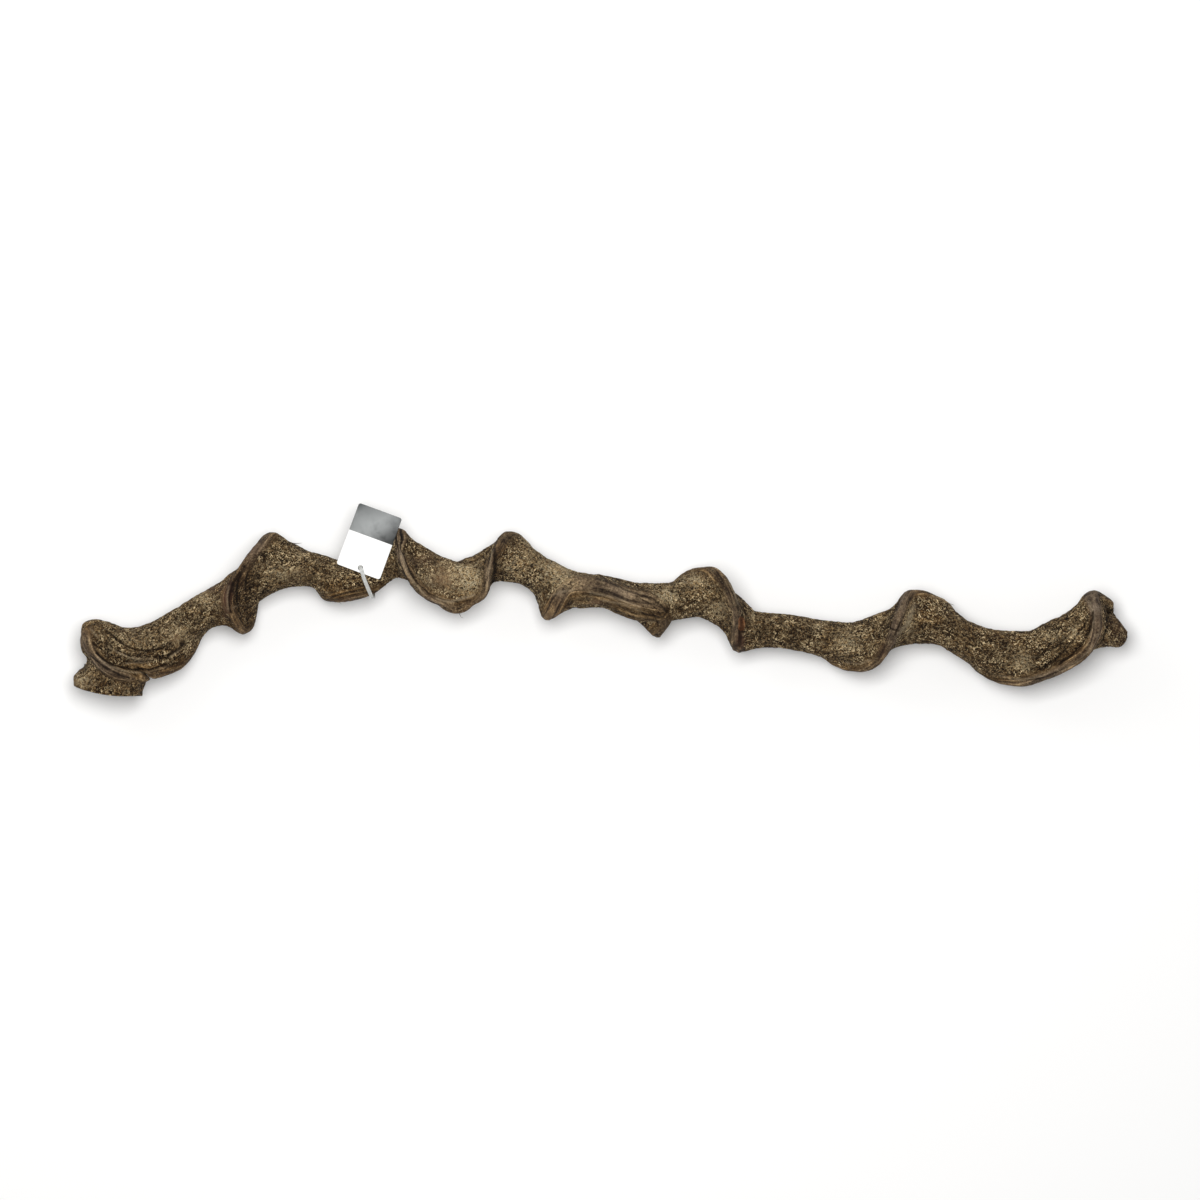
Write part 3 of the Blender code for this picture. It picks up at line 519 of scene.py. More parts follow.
lumps = layered(grid, LUMP, 3, 3) - 0.5
cork, curl, strand = ridged(on_stem, PLATE, 11), ridged(grid, CURL, 23), ridged(on_rim, STRAND, 31)
ragged = layered(on_stem, CRUMB, 57) - 0.5
lined = 0.10 + 0.90 * np.maximum(close, 0.9 * flank)
relief = (1.6 * lumps * (1 - 0.5 * close) + (cork - 0.75) * (1 - lined)
          + 0.9 * (curl - 0.75) * (1 - 0.8 * lined) + 1.2 * (strand - 0.7) * lined
          + 0.9 * ragged * (1 - 0.6 * lined)) - traced(STROKES) * seen
fine = grid + (relief - traced(SWELLS) * seen)[..., None] * normal
fine[..., 2] = np.maximum(fine[..., 2], 0.0)

ends = []
for ring_row in (fine[0], fine[-1]):
    centre = ring_row.mean(0)
    shrink = (1 - np.arange(1, CAP_RINGS) / CAP_RINGS)[:, None, None]
    ends += [(centre + (ring_row - centre) * shrink).reshape(-1, 3), centre[None]]

points = np.concatenate([fine.reshape(-1, 3), *ends])
cols = np.arange(ROUND)
nexts = (cols + 1) % ROUND


def strip(first, second):
    """Quads between two rings of point numbers, each ring closed on itself."""
    return np.stack([first, first[..., nexts], second[..., nexts], second], -1).reshape(-1, 4)


index = np.arange(SECTIONS * ROUND).reshape(SECTIONS, ROUND)
quads = [strip(index[:-1], index[1:])]
fans = []
cap_size = (CAP_RINGS - 1) * ROUND + 1
for edge, base, outward_turn in ((index[0], index.size, False), (index[-1], index.size + cap_size, True)):
    rings = np.concatenate([edge[None], base + np.arange((CAP_RINGS - 1) * ROUND).reshape(-1, ROUND)])
    cap = strip(rings[:-1], rings[1:])
    hub = base + cap_size - 1
    fan = np.stack([rings[-1], rings[-1][nexts], np.full(ROUND, hub)], -1)
    quads.append(cap if outward_turn else cap[:, ::-1])
    fans.append(fan if outward_turn else fan[:, ::-1])
quads, fans = np.concatenate(quads), np.concatenate(fans)
a, b, c = points[quads[:, 0]], points[quads[:, 1]], points[quads[:, 2]]
if (np.cross(b - a, c - a) * (a - points[:index.size].mean(0))).sum() < 0:
    quads, fans = quads[:, ::-1], fans[:, ::-1]


def mesh_from(name, points, quads, tris=None):
    """Closed mesh from whole arrays of points, four-sided and three-sided faces, shaded smooth."""
    tris = np.zeros((0, 3), int) if tris is None else tris
    mesh = bpy.data.meshes.new(name)
    mesh.vertices.add(len(points))
    mesh.vertices.foreach_set("co", points.astype(np.float32).ravel())
    mesh.loops.add(quads.size + tris.size)
    mesh.loops.foreach_set("vertex_index", np.concatenate([quads.ravel(), tris.ravel()]).astype(np.int32))
    mesh.polygons.add(len(quads) + len(tris))
    starts = np.concatenate([np.arange(len(quads)) * 4, len(quads) * 4 + np.arange(len(tris)) * 3])
    mesh.polygons.foreach_set("loop_start", starts.astype(np.int32))
    mesh.polygons.foreach_set("use_smooth", np.ones(len(starts), bool))
    mesh.update(calc_edges=True)
    mesh.validate()
    obj = bpy.data.objects.new(name, mesh)
    bpy.context.collection.objects.link(obj)
    return obj


def tell(obj, name, values):
    """Stores one number, or one vector, a point on the mesh under the given name."""
    kind = "FLOAT_VECTOR" if values.ndim == 2 else "FLOAT"
    field = obj.data.attributes.new(name, kind, "POINT")
    field.data.foreach_set("vector" if kind == "FLOAT_VECTOR" else "value", values.astype(np.float32).ravel())


vine = mesh_from("grown_vine", points * MM, quads, fans)
cap_points = len(points) - index.size


def with_caps(values, filler):
    """Adds the same value for every point of the two cut faces."""
    values = values.reshape(index.size, -1)
    extra = np.broadcast_to(np.asarray(filler, float), (cap_points, values.shape[1]))
    out = np.concatenate([values, extra])
    return out[:, 0] if out.shape[1] == 1 else out


# Painted shade, laid into the bark's colour: darker on sides turned away from the overhead light and deeper
# in the relief's pits.
turned_away_shade = np.clip(1 - normal[..., 2] / 0.5, 0, 1.3)
pit_and_side_shade = np.clip(0.5 - (relief - 1.2 * lumps * (1 - 0.5 * close)) / 1.7 + 0.17 * turned_away_shade, 0, 1)
loose_dust = np.clip(layered(grid, CLOUD, 41) * 3.2 - 1.9, 0, 0.6) * (1 - seen)
told = {                                     # what each point of the bark carries, and what the cut faces do
    "rim": (close, 0.0),
    "flank": (flank, 0.0),
    "grey": (np.clip(0.25 + dabbed(GREYED) * seen, 0, 0.95), 0.5),
    # painted shade in the pits and on sides turned away from the light
    "pit_and_side_shade": (pit_and_side_shade, 0.4),
    "dusty": (np.clip(np.clip(dabbed(DUSTY), 0, 1.2) * seen + loose_dust, 0, 1.2), 0.0),
    "red": (np.clip(dabbed(REDDISH), 0, 1.2) * seen, 0.0),
    # painted shade in the hollows between the ridges
    "shaded_hollow": (np.clip(dabbed(SHADED_HOLLOWS), 0, 1) * seen, 0.0),
    "rubbed": (np.clip(dabbed(RUBBED), 0, 1) * seen, 0.0),
    # pale bast lines, partly painted highlight along ridge crests
    "pale": (np.clip(traced(PALE), 0, 1) * seen, 0.0),
    "scar": (traced(SCAR) * seen, 0.0),
    "sawn": (0 * close, 1.0),
    "stem_grain": (on_stem * (1, 1, 0.22) * MM, 0.0),
    "rim_grain": (on_rim * (1, 0.07, 1) * MM, 0.0),
}
for name, (values, on_cut) in told.items():
    tell(vine, name, with_caps(values, on_cut))

# The bark's colours: the stem from its cracks to its curls, the worn rims, the scar and the sawn face.
STEM_BROWNS = ((0.14, (0.012, 0.006, 0.003)), (0.32, (0.041, 0.023, 0.0095)), (0.46, (0.087, 0.052, 0.0225)),
               (0.60, (0.182, 0.115, 0.053)), (0.80, (0.60, 0.415, 0.210)))
RIM_GREYS = ((0.14, (0.024, 0.016, 0.012)), (0.34, (0.074, 0.053, 0.039)), (0.50, (0.144, 0.109, 0.080)),
             (0.72, (0.272, 0.218, 0.166)))
SCAR_REDS = ((0.35, (0.22, 0.085, 0.033)), (0.65, (0.50, 0.24, 0.11)))
SAWN_BROWNS = ((0.36, (0.075, 0.043, 0.022)), (0.50, (0.18, 0.118, 0.065)), (0.66, (0.30, 0.215, 0.125)))
WARM_CAST, DULL_CAST = (0.60, 0.47, 0.30), (0.72, 0.66, 0.58)
BARE_WOOD, CURL_TAN, FLECK_TAN = (0.235, 0.150, 0.078), (0.50, 0.37, 0.20), (0.90, 0.70, 0.41)
DUST_TAN, DUSTY_CURL = (0.62, 0.445, 0.235), (0.88, 0.74, 0.48)
RED_BARK, PALE_BAST_AND_HIGHLIGHT = (0.085, 0.036, 0.022), (0.40, 0.315, 0.205)
PIT_SHADE, HOLLOW_SHADE = (0.16, 0.12, 0.09), (0.22, 0.17, 0.13)


def give(tree, node, ins=(), **sockets):
    """Links or sets a node's sockets: ins in order, the others by name. None leaves a socket as it is."""
    pairs = list(zip(node.inputs, ins)) + [(node.inputs[k.replace("_", " ")], s) for k, s in sockets.items()]
    for socket, value in pairs:
        if isinstance(value, bpy.types.NodeSocket):
            tree.links.new(value, socket)
        elif value is not None:
            socket.default_value = (*value, 1.0) if socket.type == "RGBA" else value
    return node


def put(tree, kind, settings=None, ins=(), **sockets):
    """One new shader node: settings are its menus, the rest is given to its sockets."""
    node = tree.nodes.new(kind)
    for key, value in (settings or {}).items():
        setattr(node, key, value)
    return give(tree, node, ins, **sockets)


def calc(tree, what, *ins):
    """The result socket of a Math node."""
    return put(tree, "ShaderNodeMath", {"operation": what}, ins).outputs[0]


def times(tree, a, b):
    """The product a b."""
    return calc(tree, "MULTIPLY", a, b)


def summed(tree, start, *terms):
    """Start plus each term's value times its share."""
    for value, share in terms:
        start = calc(tree, "MULTIPLY_ADD", value, share, start)
    return start


def off_middle(tree, value):
    """How far a value from 0 to 1 lies above its middle: value - 0.5."""
    return calc(tree, "SUBTRACT", value, 0.5)


def tint(tree, share, under, over, how="MIX"):
    """The result colour of laying one colour over another by a share from 0 to 1."""
    return put(tree, "ShaderNodeMix", {"data_type": "RGBA", "blend_type": how},
               (share, *[None] * 5, under, over)).outputs[2]


def spread(tree, value, low, high, to_low=0.0, to_high=1.0):
    """Carries a value from one range to another and holds it at the ends, eased."""
    return put(tree, "ShaderNodeMapRange", {"interpolation_type": "SMOOTHSTEP"},
               (value, low, high, to_low, to_high)).outputs[0]


def field(tree, name, vector=False):
    """What the mesh stores at each point under this name."""
    node = put(tree, "ShaderNodeAttribute", {"attribute_name": name, "attribute_type": "GEOMETRY"})
    return node.outputs["Vector" if vector else "Fac"]


def noise(tree, where, scale, detail=3.0, rough=0.55, bend=0.0):
    """The noise texture's value. The scale is in waves a metre."""
    return put(tree, "ShaderNodeTexNoise", Vector=where, Scale=scale, Detail=detail, Roughness=rough,
               Distortion=bend).outputs["Fac"]


def ramp(tree, value, *stops):
    """Colour ramp: each stop is a place from 0 to 1 and a colour."""
    node = put(tree, "ShaderNodeValToRGB", ins=(value,))
    band = node.color_ramp.elements
    for k, (place, colour) in enumerate(stops):
        stop = band[k] if k < 2 else band.new(place)
        stop.position = place
        stop.color = (*colour, 1.0)
    return node.outputs["Color"]


def bumped(tree, strength, distance, height):
    """The surface's direction under a height pattern."""
    return put(tree, "ShaderNodeBump", Strength=strength, Distance=distance, Height=height).outputs["Normal"]


def new_material(name):
    """A material and its Principled shader."""
    mat = bpy.data.materials.new(name)
    mat.use_nodes = True
    return mat, mat.node_tree, mat.node_tree.nodes["Principled BSDF"]


bark, tree, shader = new_material("bark")
where = put(tree, "ShaderNodeTexCoord").outputs["Object"]
# The pit field carries painted shade, not a colour of the bark.
rim, painted_pit_shade, dust = field(tree, "rim"), field(tree, "pit_and_side_shade"), field(tree, "dusty")
stem_grain, rim_grain = field(tree, "stem_grain", True), field(tree, "rim_grain", True)

# The bark's patterns, each with its scale, detail, roughness and bend.
patchy = noise(tree, where, 20.0, 3.0)
clustered = noise(tree, where, 62.0, 2.0, 0.6)
mottle = noise(tree, where, 110.0, 3.0, 0.6, 0.4)
curly = noise(tree, where, 280.0, 2.0, 0.5, 2.4)
gappy = noise(tree, where, 400.0, 2.0, 0.5, 1.4)
broken = noise(tree, where, 330.0, 2.0, 0.5, 0.3)
crumb = noise(tree, where, 560.0, 2.0, 0.60, 0.6)
speck = noise(tree, where, 350.0, 1.0, 0.5, 1.8)
fibre = noise(tree, stem_grain, 330.0, 4.0, 0.62, 0.9)
band = noise(tree, rim_grain, 380.0, 4.0, 0.65, 0.35)

along_rim = spread(tree, field(tree, "flank"), 0.25, 0.85)
smooth = calc(tree, "MAXIMUM", along_rim, times(tree, field(tree, "rubbed"), 0.8))
grain = put(tree, "ShaderNodeMix", {"data_type": "FLOAT"}, (along_rim, None, fibre, band)).outputs[0]
corky = spread(tree, smooth, 1.0, 0.0, 0.22, 1.0)
curl = spread(tree, calc(tree, "ABSOLUTE", off_middle(tree, curly)), 0.085, 0.02)
curl = times(tree, times(tree, curl, spread(tree, broken, 0.42, 0.56)), corky)
gap = spread(tree, calc(tree, "ABSOLUTE", off_middle(tree, gappy)), 0.080, 0.01)
gap = times(tree, gap, corky)
# The tone is also darkened by the painted shade of pits and turned-away sides.
tone = summed(tree, spread(tree, along_rim, 0.0, 1.0, 0.403, 0.438), (curl, 0.23), (gap, -0.15),
              (off_middle(tree, grain), spread(tree, along_rim, 0.0, 1.0, 0.95, 1.7)),
              (off_middle(tree, crumb), spread(tree, along_rim, 0.0, 1.0, 1.45, 0.6)),
              (times(tree, spread(tree, speck, 0.42, 0.35), corky), -0.26),
              (off_middle(tree, mottle), 0.22), (off_middle(tree, painted_pit_shade), -0.24), (dust, 0.06))

# The bark's colour, laid on from the ground up to the painted shade in its pits and hollows, and the sawn
# faces.
fleck = times(tree, spread(tree, speck, 0.590, 0.635), spread(tree, smooth, 1.0, 0.2, 0.15, 1.0))
reddish = times(tree, field(tree, "red"), spread(tree, mottle, 0.3, 0.6, 0.45, 0.8))
sawn_grain = summed(tree, times(tree, crumb, 0.4), (mottle, 0.6))
colour = tint(tree, times(tree, spread(tree, rim, 0.30, 0.9), field(tree, "grey")),
              ramp(tree, tone, *STEM_BROWNS), ramp(tree, tone, *RIM_GREYS))
for share, over, how in (
        (spread(tree, patchy, 0.40, 0.66, 0.0, 0.45), WARM_CAST, "SOFT_LIGHT"),
        (spread(tree, patchy, 0.56, 0.36, 0.0, 0.4), DULL_CAST, "MULTIPLY"),
        (times(tree, field(tree, "rubbed"), spread(tree, fibre, 0.34, 0.58, 0.35, 0.85)), BARE_WOOD, "MIX"),
        (times(tree, curl, spread(tree, mottle, 0.44, 0.62, 0.04, 0.70)), CURL_TAN, "MIX"),
        (times(tree, fleck, spread(tree, clustered, 0.42, 0.58, 0.25, 1.0)), FLECK_TAN, "MIX"),
        (times(tree, dust, spread(tree, crumb, 0.44, 0.60, 0.0, 0.74)), DUST_TAN, "MIX"),
        (times(tree, dust, curl), DUSTY_CURL, "MIX"),
        (reddish, RED_BARK, "MIX"),
        (spread(tree, field(tree, "scar"), 0.25, 0.6, 0.0, 0.92), ramp(tree, crumb, *SCAR_REDS), "MIX"),
        # Pale bast lines, partly painted highlight along ridge crests.
        (times(tree, field(tree, "pale"), spread(tree, crumb, 0.30, 0.55, 0.45, 0.85)), PALE_BAST_AND_HIGHLIGHT, "MIX"),
        # Painted shade in the pits and on sides turned away from the light.
        (spread(tree, painted_pit_shade, 0.58, 1.0, 0.0, 0.85), PIT_SHADE, "MULTIPLY"),
        # Painted shade in the hollows between the ridges.
        (times(tree, field(tree, "shaded_hollow"), spread(tree, crumb, 0.65, 0.35, 0.45, 0.95)), HOLLOW_SHADE,
         "MULTIPLY"),
        (spread(tree, field(tree, "sawn"), 0.35, 0.75), ramp(tree, sawn_grain, *SAWN_BROWNS), "MIX")):
    colour = tint(tree, share, colour, over, how)
height = summed(tree, times(tree, crumb, 0.6), (grain, 0.8), (curl, 0.35), (gap, -0.35))
give(tree, shader, Base_Color=colour, Specular_IOR_Level=0.12, Normal=bumped(tree, 1.0, 0.0022, height),
     Roughness=summed(tree, 0.93, (spread(tree, rim, 0.3, 1.0), -0.22), (reddish, -0.18)))
vine.data.materials.append(bark)
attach(vine, "root")
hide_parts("vine")

# Loose fibres: a few thin dry threads of bast that have lifted off the bark at its edges.
# Each grows out of the bark and tapers to a hair.
FIBRES = [
    (0.65, (283, 541, 34), (289, 542.6, 33), (295, 543.4, 34), (302.0, 543.0, 35)),
    (0.35, (276, 537, 40), (280, 537.2, 42), (284, 539.0, 43)),
    (0.50, (86, 665, 44), (84, 668.0, 44), (81.5, 669.5, 43)),
    (0.45, (82, 671, 42), (79.5, 673.0, 42), (77.5, 673.6, 41)),
    (0.35, (337, 600, 40), (339.5, 602.4, 39), (341, 604.4, 37)),
    (0.45, (946, 602, 40), (951, 604.0, 41), (955, 605.4, 40)),
    (0.40, (1112, 606, 34), (1114.5, 609.5, 33), (1114, 613.0, 32)),
    (0.40, (459, 612, 40), (461, 617.0, 38), (464, 618.5, 36)),
]
FIBRE_STEPS, FIBRE_ROUND = 28, 8
FIBRE_ROOT, FIBRE_TIP, FIBRE_TAPER = 2.0, 0.05, 0.6
BAST_BROWNS = ((0.35, (0.014, 0.010, 0.007)), (0.65, (0.052, 0.036, 0.022)))


def thread(radius, stations):
    """Tube round a smooth course, rooted in the bark, whose radius falls as (1 - s)^taper to the tip."""
    course = placed(stations)
    nearest = ((grid - course[0]) ** 2).sum(2).argmin()
    root, way = grid.reshape(-1, 3)[nearest], normal.reshape(-1, 3)[nearest]
    course = np.concatenate([[root - FIBRE_ROOT * way, root], course[1:]])
    at = run_of(course)
    s = np.linspace(0, at[-1], FIBRE_STEPS)
    line = soften(hermite(at, course, s), s[1] - s[0], 0.5)
    go = unit(np.gradient(line, axis=0))
    first = unit(np.cross(go, [0.3, 0.2, 0.93]))
    turn = 2 * math.pi * np.arange(FIBRE_ROUND) / FIBRE_ROUND
    thick = np.maximum(radius * (1 - s / at[-1]) ** FIBRE_TAPER, FIBRE_TIP)[:, None, None]
    over, up = np.cos(turn)[None, :, None], np.sin(turn)[None, :, None]
    ring = over * first[:, None] + up * np.cross(go, first)[:, None]
    return np.concatenate([(line[:, None] + thick * ring).reshape(-1, 3), line[:1], line[-1:]])


around = np.arange(FIBRE_STEPS * FIBRE_ROUND).reshape(FIBRE_STEPS, FIBRE_ROUND)
onward = np.roll(around, -1, 1)
tube = np.stack([around[:-1], onward[:-1], onward[1:], around[1:]], -1).reshape(-1, 4)
tips = np.concatenate([np.stack([onward[0], around[0], np.full(FIBRE_ROUND, around.size)], -1),
                       np.stack([around[-1], onward[-1], np.full(FIBRE_ROUND, around.size + 1)], -1)])
threads = [thread(radius, stations) for radius, *stations in FIBRES]
shift = (np.arange(len(threads)) * (around.size + 2))[:, None, None]
fibre_points = np.concatenate(threads) * MM
fibres = mesh_from("loose_fibres", fibre_points, (tube + shift).reshape(-1, 4), (tips + shift).reshape(-1, 3))
bast, tree, shader = new_material("bast_fibre")
where = put(tree, "ShaderNodeTexCoord").outputs["Object"]
give(tree, shader, Base_Color=ramp(tree, noise(tree, where, 500.0, 2.0), *BAST_BROWNS),
     Roughness=spread(tree, noise(tree, where, 900.0, 2.0), 0.3, 0.7, 0.75, 0.95))
fibres.data.materials.append(bast)
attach(fibres, "root")

# The swing tag: a laminated card with a punched hole, white with a silver-grey foil band over its far half.
# It lies across the vine and hangs on the strap.
TAG_W, TAG_H, TAG_T = 46.0, 65.6, 0.8        # mm
TAG_CORNER, TAG_EDGE, TAG_BOW = 2.6, 0.22, 0.25
TAG_HOLE_R, TAG_HOLE_IN, TAG_HOLE_SIDE = 2.6, 4.8, 0.8
TAG_CENTRE = (369.8, 541.4, 63.4)
TAG_TURN, TAG_TILT = -20.2, 6.0               # degrees: its width against +X, its far edge hanging lower
BAND_EDGE = 4.2                               # mm beyond the middle, where the silver starts
TAG_ROUND = 160
# The foil's grey with a painted reflection along its sweep, then the card's clean white and the tone of its
# handling marks.
FOIL_GREY_AND_REFLECTION = ((0.02, (0.060, 0.066, 0.066)), (0.16, (0.180, 0.188, 0.188)), (0.42, (0.265, 0.275, 0.275)),
              (0.56, (0.205, 0.213, 0.213)), (0.67, (0.105, 0.109, 0.109)), (0.79, (0.036, 0.038, 0.038)))
CARD_WHITE, CARD_MARKS = (0.88, 0.88, 0.875), (0.74, 0.73, 0.70)

turn, tilt = math.radians(TAG_TURN), math.radians(TAG_TILT)
tag_middle = placed([TAG_CENTRE])[0]
tag_wide = np.array([math.cos(turn), math.sin(turn), 0.0])
tag_far = np.array([-math.sin(turn) * math.cos(tilt), math.cos(turn) * math.cos(tilt), -math.sin(tilt)])
tag_out = np.cross(tag_wide, tag_far)


def rounded_reach(theta, half_w, half_h, corner, off_x, off_y):
    """Outline point of a rounded oblong in the direction theta from a point off its middle.

    The edge is where max(|x| - (w - r), 0)^2 + max(|y| - (h - r), 0)^2 = r^2, found by halving on each ray.
    """
    low, high = np.zeros_like(theta), np.full_like(theta, 4 * (half_w + half_h))
    for _ in range(48):
        mid = (low + high) / 2
        x, y = mid * np.cos(theta) + off_x, mid * np.sin(theta) + off_y
        past = np.maximum(np.abs(x) - half_w + corner, 0), np.maximum(np.abs(y) - half_h + corner, 0)
        inside = np.hypot(*past) < corner
        low, high = np.where(inside, mid, low), np.where(inside, high, mid)
    return low * np.cos(theta), low * np.sin(theta)


hole_y = -TAG_H / 2 + TAG_HOLE_IN
corner_at = [math.atan2(sy * (TAG_H / 2 - s) - hole_y, sx * (TAG_W / 2 - c) - TAG_HOLE_SIDE)
             for sx, sy in ((1, -1), (1, 1), (-1, 1), (-1, -1))
             for s, c in ((0, TAG_CORNER), (TAG_CORNER, 0))]
theta = np.sort(np.concatenate([np.linspace(-math.pi, math.pi, TAG_ROUND, endpoint=False)]
                               + [a + np.linspace(-0.04, 0.04, 12) for a in corner_at]))
edge_x, edge_y = rounded_reach(theta, TAG_W / 2 - TAG_EDGE, TAG_H / 2 - TAG_EDGE, TAG_CORNER - TAG_EDGE,
                               TAG_HOLE_SIDE, hole_y)
grown = lambda v, d: v + d * v / np.hypot(edge_x, edge_y)
upper = [(0.0, 0.0, 0.5), (0.012, 0.0, 0.5), (0.25, 0.0, 0.5), (0.5, 0.0, 0.5), (0.75, 0.0, 0.5),
         (1.0, 0.0, 0.5), (1.0, 0.16, 0.42), (1.0, TAG_EDGE, 0.2)]
rings = []
for share, out, lift in upper + [(share, out, -lift) for share, out, lift in reversed(upper)]:
    start_x, start_y = TAG_HOLE_R * np.cos(theta), TAG_HOLE_R * np.sin(theta)
    x = start_x + (grown(edge_x, out) - start_x) * share + TAG_HOLE_SIDE
    y = start_y + (grown(edge_y, out) - start_y) * share + hole_y
    bow = TAG_BOW * (x / (TAG_W / 2)) ** 2
    rings.append(np.stack([x, y, lift * TAG_T + bow], -1))
flat = np.stack(rings)
tag_points = tag_middle + flat[..., :1] * tag_wide + flat[..., 1:2] * tag_far + flat[..., 2:] * tag_out


def looped(rows, cols):
    """Quads of a grid that closes on itself both ways."""
    i = np.arange(rows * cols).reshape(rows, cols)
    j = np.roll(i, -1, 0)
    return np.stack([i, np.roll(i, -1, 1), np.roll(j, -1, 1), j], -1).reshape(-1, 4)


def facing_out(points, quads):
    """Turns the faces round if the volume, the sum of a . (b x c) / 6 over the triangles, is below zero."""
    a, b, c, d = (points[quads[:, k]] for k in range(4))
    volume = (a * np.cross(b, c)).sum() + (a * np.cross(c, d)).sum()
    return quads[:, ::-1] if volume < 0 else quads


tag_flat = tag_points.reshape(-1, 3)
tag = mesh_from("swing_tag", tag_flat * MM, facing_out(tag_flat, looped(len(rings), len(theta))))
tag.data.set_sharp_from_angle(angle=math.radians(40))
tell(tag, "card", np.concatenate([flat[..., :2].reshape(-1, 2), np.zeros((len(tag_flat), 1))], 1) * MM)


def scuff_group():
    """Shared light wear: cloudy handling marks and fine scratches, put out as one mask and one height."""
    group = bpy.data.node_groups.new("handling_wear", "ShaderNodeTree")
    group.interface.new_socket("Where", in_out="INPUT", socket_type="NodeSocketVector")
    group.interface.new_socket("Mask", in_out="OUTPUT", socket_type="NodeSocketFloat")
    group.interface.new_socket("Height", in_out="OUTPUT", socket_type="NodeSocketFloat")
    source, sink = put(group, "NodeGroupInput"), put(group, "NodeGroupOutput")
    cloud = noise(group, source.outputs["Where"], 90.0, 4.0, 0.6, 0.3)
    across = put(group, "ShaderNodeMapping", Vector=source.outputs["Where"], Scale=(1.0, 14.0, 6.0),
                 Rotation=(0.0, 0.0, 0.5)).outputs[0]
    hair = noise(group, across, 160.0, 2.0, 0.5, 0.2)
    give(group, sink, Mask=spread(group, cloud, 0.42, 0.68),
         Height=summed(group, times(group, cloud, 0.4), (hair, 0.6)))
    return group


wear = scuff_group()
card_mat, tree, shader = new_material("tag_card")
on_card = field(tree, "card", True)
worn = put(tree, "ShaderNodeGroup", {"node_tree": wear}, Where=on_card)
parts = put(tree, "ShaderNodeSeparateXYZ", ins=(on_card,)).outputs
silver_on = spread(tree, parts["Y"], (BAND_EDGE - 0.12) * MM, (BAND_EDGE + 0.12) * MM)
mask = worn.outputs["Mask"]
# Painted reflection: the foil's grey runs from dark to light along this sweep across the band.
sweep = summed(tree, parts["X"], (parts["Y"], -0.8), (off_middle(tree, mask), 0.003))
silver = ramp(tree, summed(tree, 0.64, (sweep, 12.5)), *FOIL_GREY_AND_REFLECTION)
white = tint(tree, times(tree, mask, 0.05), CARD_WHITE, CARD_MARKS)
give(tree, shader, Base_Color=tint(tree, silver_on, white, silver), Metallic=times(tree, silver_on, 0.25),
     Roughness=summed(tree, 0.46, (mask, 0.12), (silver_on, 0.10)), Specular_IOR_Level=0.25,
     Normal=bumped(tree, 0.12, 0.0002, worn.outputs["Height"]))
tag.data.materials.append(card_mat)
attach(tag, "root")
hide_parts("hang_tag")

# The strap: a moulded strip of clear plastic with thickened edges and a fine middle line along it.
# It is drawn through the hole and round the stem, and locks in a small head behind the stem.
STRAP_W, STRAP_T = 3.7, 1.1                   # mm
LOCK_W, LOCK_T, LOCK_L = 6.0, 3.6, 7.5
LOCK_AT = (361.6, 551.6, 42.0)
STRAP_STEPS = 1100
STRAP_LEAD = (0.36, -0.93, 0.0)               # the way it leaves the hole, over the card's near edge
STRAP_CLEAR, STRAP_WORN = (0.80, 0.81, 0.79), (0.68, 0.69, 0.67)
STRAP_KNOTS = [
    (364.6, 578.5, 67.0), (367.8, 586.8, 62.4), (371.1, 594.9, 56.5), (372.6, 598.2, 49.5),
    (373.2, 597.3, 41.0), (372.8, 590.5, 29.0), (370.6, 580.0, 22.0), (368.0, 569.0, 20.6),
    (365.5, 558.8, 25.5), (363.2, 552.8, 35.0), (361.4, 551.4, 45.0), (360.2, 554.0, 54.5),
    (360.0, 559.5, 60.6),
]
hole = tag_middle + tag_far * (-TAG_H / 2 + TAG_HOLE_IN) + tag_wide * TAG_HOLE_SIDE
lead = unit(np.array(STRAP_LEAD) - (np.array(STRAP_LEAD) @ tag_out) * tag_out)
knots = np.array([hole + tag_out * -1.8 - lead * 0.7, hole + tag_out * 0.8 - lead * 0.4,
                  hole + tag_out * 2.7 + lead * 1.1, hole + tag_out * 2.9 + lead * 4.4]
                 + list(placed(STRAP_KNOTS)))


def closed_course(knots, steps):
    """Even run of points round a closed course: cubic pieces whose slopes are the chords past each knot."""
    closed = np.concatenate([knots[-3:], knots, knots[:4]])
    at = np.concatenate([[0], np.cumsum(np.sqrt(np.linalg.norm(np.diff(closed, axis=0), axis=1)))])
    s = np.linspace(at[3], at[3 + len(knots)], steps, endpoint=False)
    i = np.clip(np.searchsorted(at, s, side="right") - 1, 1, len(closed) - 3)
    slope = (closed[2:] - closed[:-2]) / (at[2:] - at[:-2])[:, None]
    h = (at[i + 1] - at[i])[:, None]
    return cubic((s - at[i])[:, None] / h, h, closed[i], slope[i - 1], closed[i + 1], slope[i])


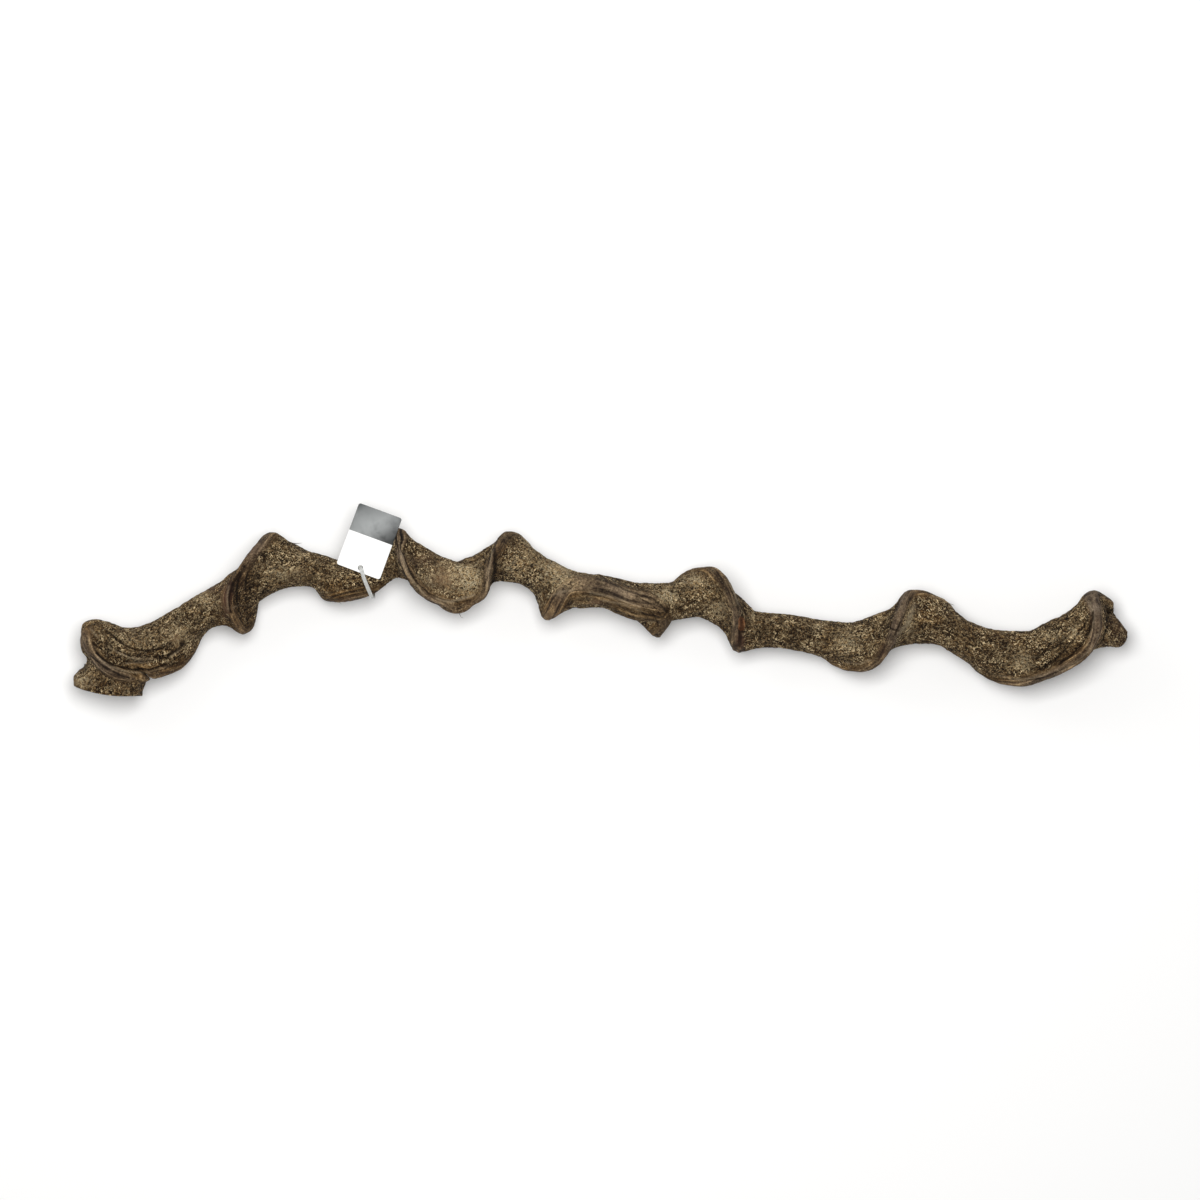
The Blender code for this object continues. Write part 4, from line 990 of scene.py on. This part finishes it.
line = closed_course(knots, 4 * STRAP_STEPS)
passed = run_of(np.concatenate([line, line[:1]]))
even = np.linspace(0, passed[-1], STRAP_STEPS, endpoint=False)
line = np.stack([np.interp(even, passed, np.append(line[:, k], line[0, k])) for k in range(3)], 1)
go = unit(np.roll(line, -1, 0) - np.roll(line, 1, 0))
plane = np.array([-STRAP_LEAD[1], STRAP_LEAD[0], 0.0])
sideways = unit(plane - (go @ plane)[:, None] * go)
outer = np.cross(go, sideways)
outer *= np.sign((outer * (line - line.mean(0))).sum(1))[:, None]
grow = 1 / (1 + (np.linalg.norm(line - placed([LOCK_AT]), axis=1) / (LOCK_L / 2)) ** 16)
half_w = (STRAP_W + (LOCK_W - STRAP_W) * grow) / 2
half_t = (STRAP_T + (LOCK_T - STRAP_T) * grow) / 2
base = line + outer * (half_t - STRAP_T / 2)[:, None]
right = np.array([(0.78, -1), (0.93, -0.8), (1, -0.35), (1, 0.45), (0.92, 0.9), (0.78, 1), (0.62, 0.68),
                  (0.2, 0.6), (0.08, 0.8)])
profile = np.roll(np.concatenate([right, right[::-1] * (-1, 1)]), 3, axis=0)
across = sideways[:, None] * (profile[:, 0] * half_w[:, None])[..., None]
strap_points = base[:, None] + across + outer[:, None] * (profile[:, 1] * half_t[:, None])[..., None]
strap_flat = strap_points.reshape(-1, 3)
strap = mesh_from("tag_strap", strap_flat * MM, facing_out(strap_flat, looped(STRAP_STEPS, len(profile))))

strap_mat, tree, shader = new_material("clear_strap")
where = put(tree, "ShaderNodeTexCoord").outputs["Object"]
worn = put(tree, "ShaderNodeGroup", {"node_tree": wear}, Where=where)
give(tree, shader, Base_Color=tint(tree, worn.outputs["Mask"], STRAP_CLEAR, STRAP_WORN),
     Roughness=summed(tree, 0.26, (worn.outputs["Mask"], 0.15)), Transmission_Weight=0.4, IOR=1.46,
     Subsurface_Weight=0.25, Subsurface_Radius=(0.002, 0.002, 0.002),
     Normal=bumped(tree, 0.15, 0.0001, worn.outputs["Height"]))
strap.data.materials.append(strap_mat)
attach(strap, "root")
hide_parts("tag_loop")
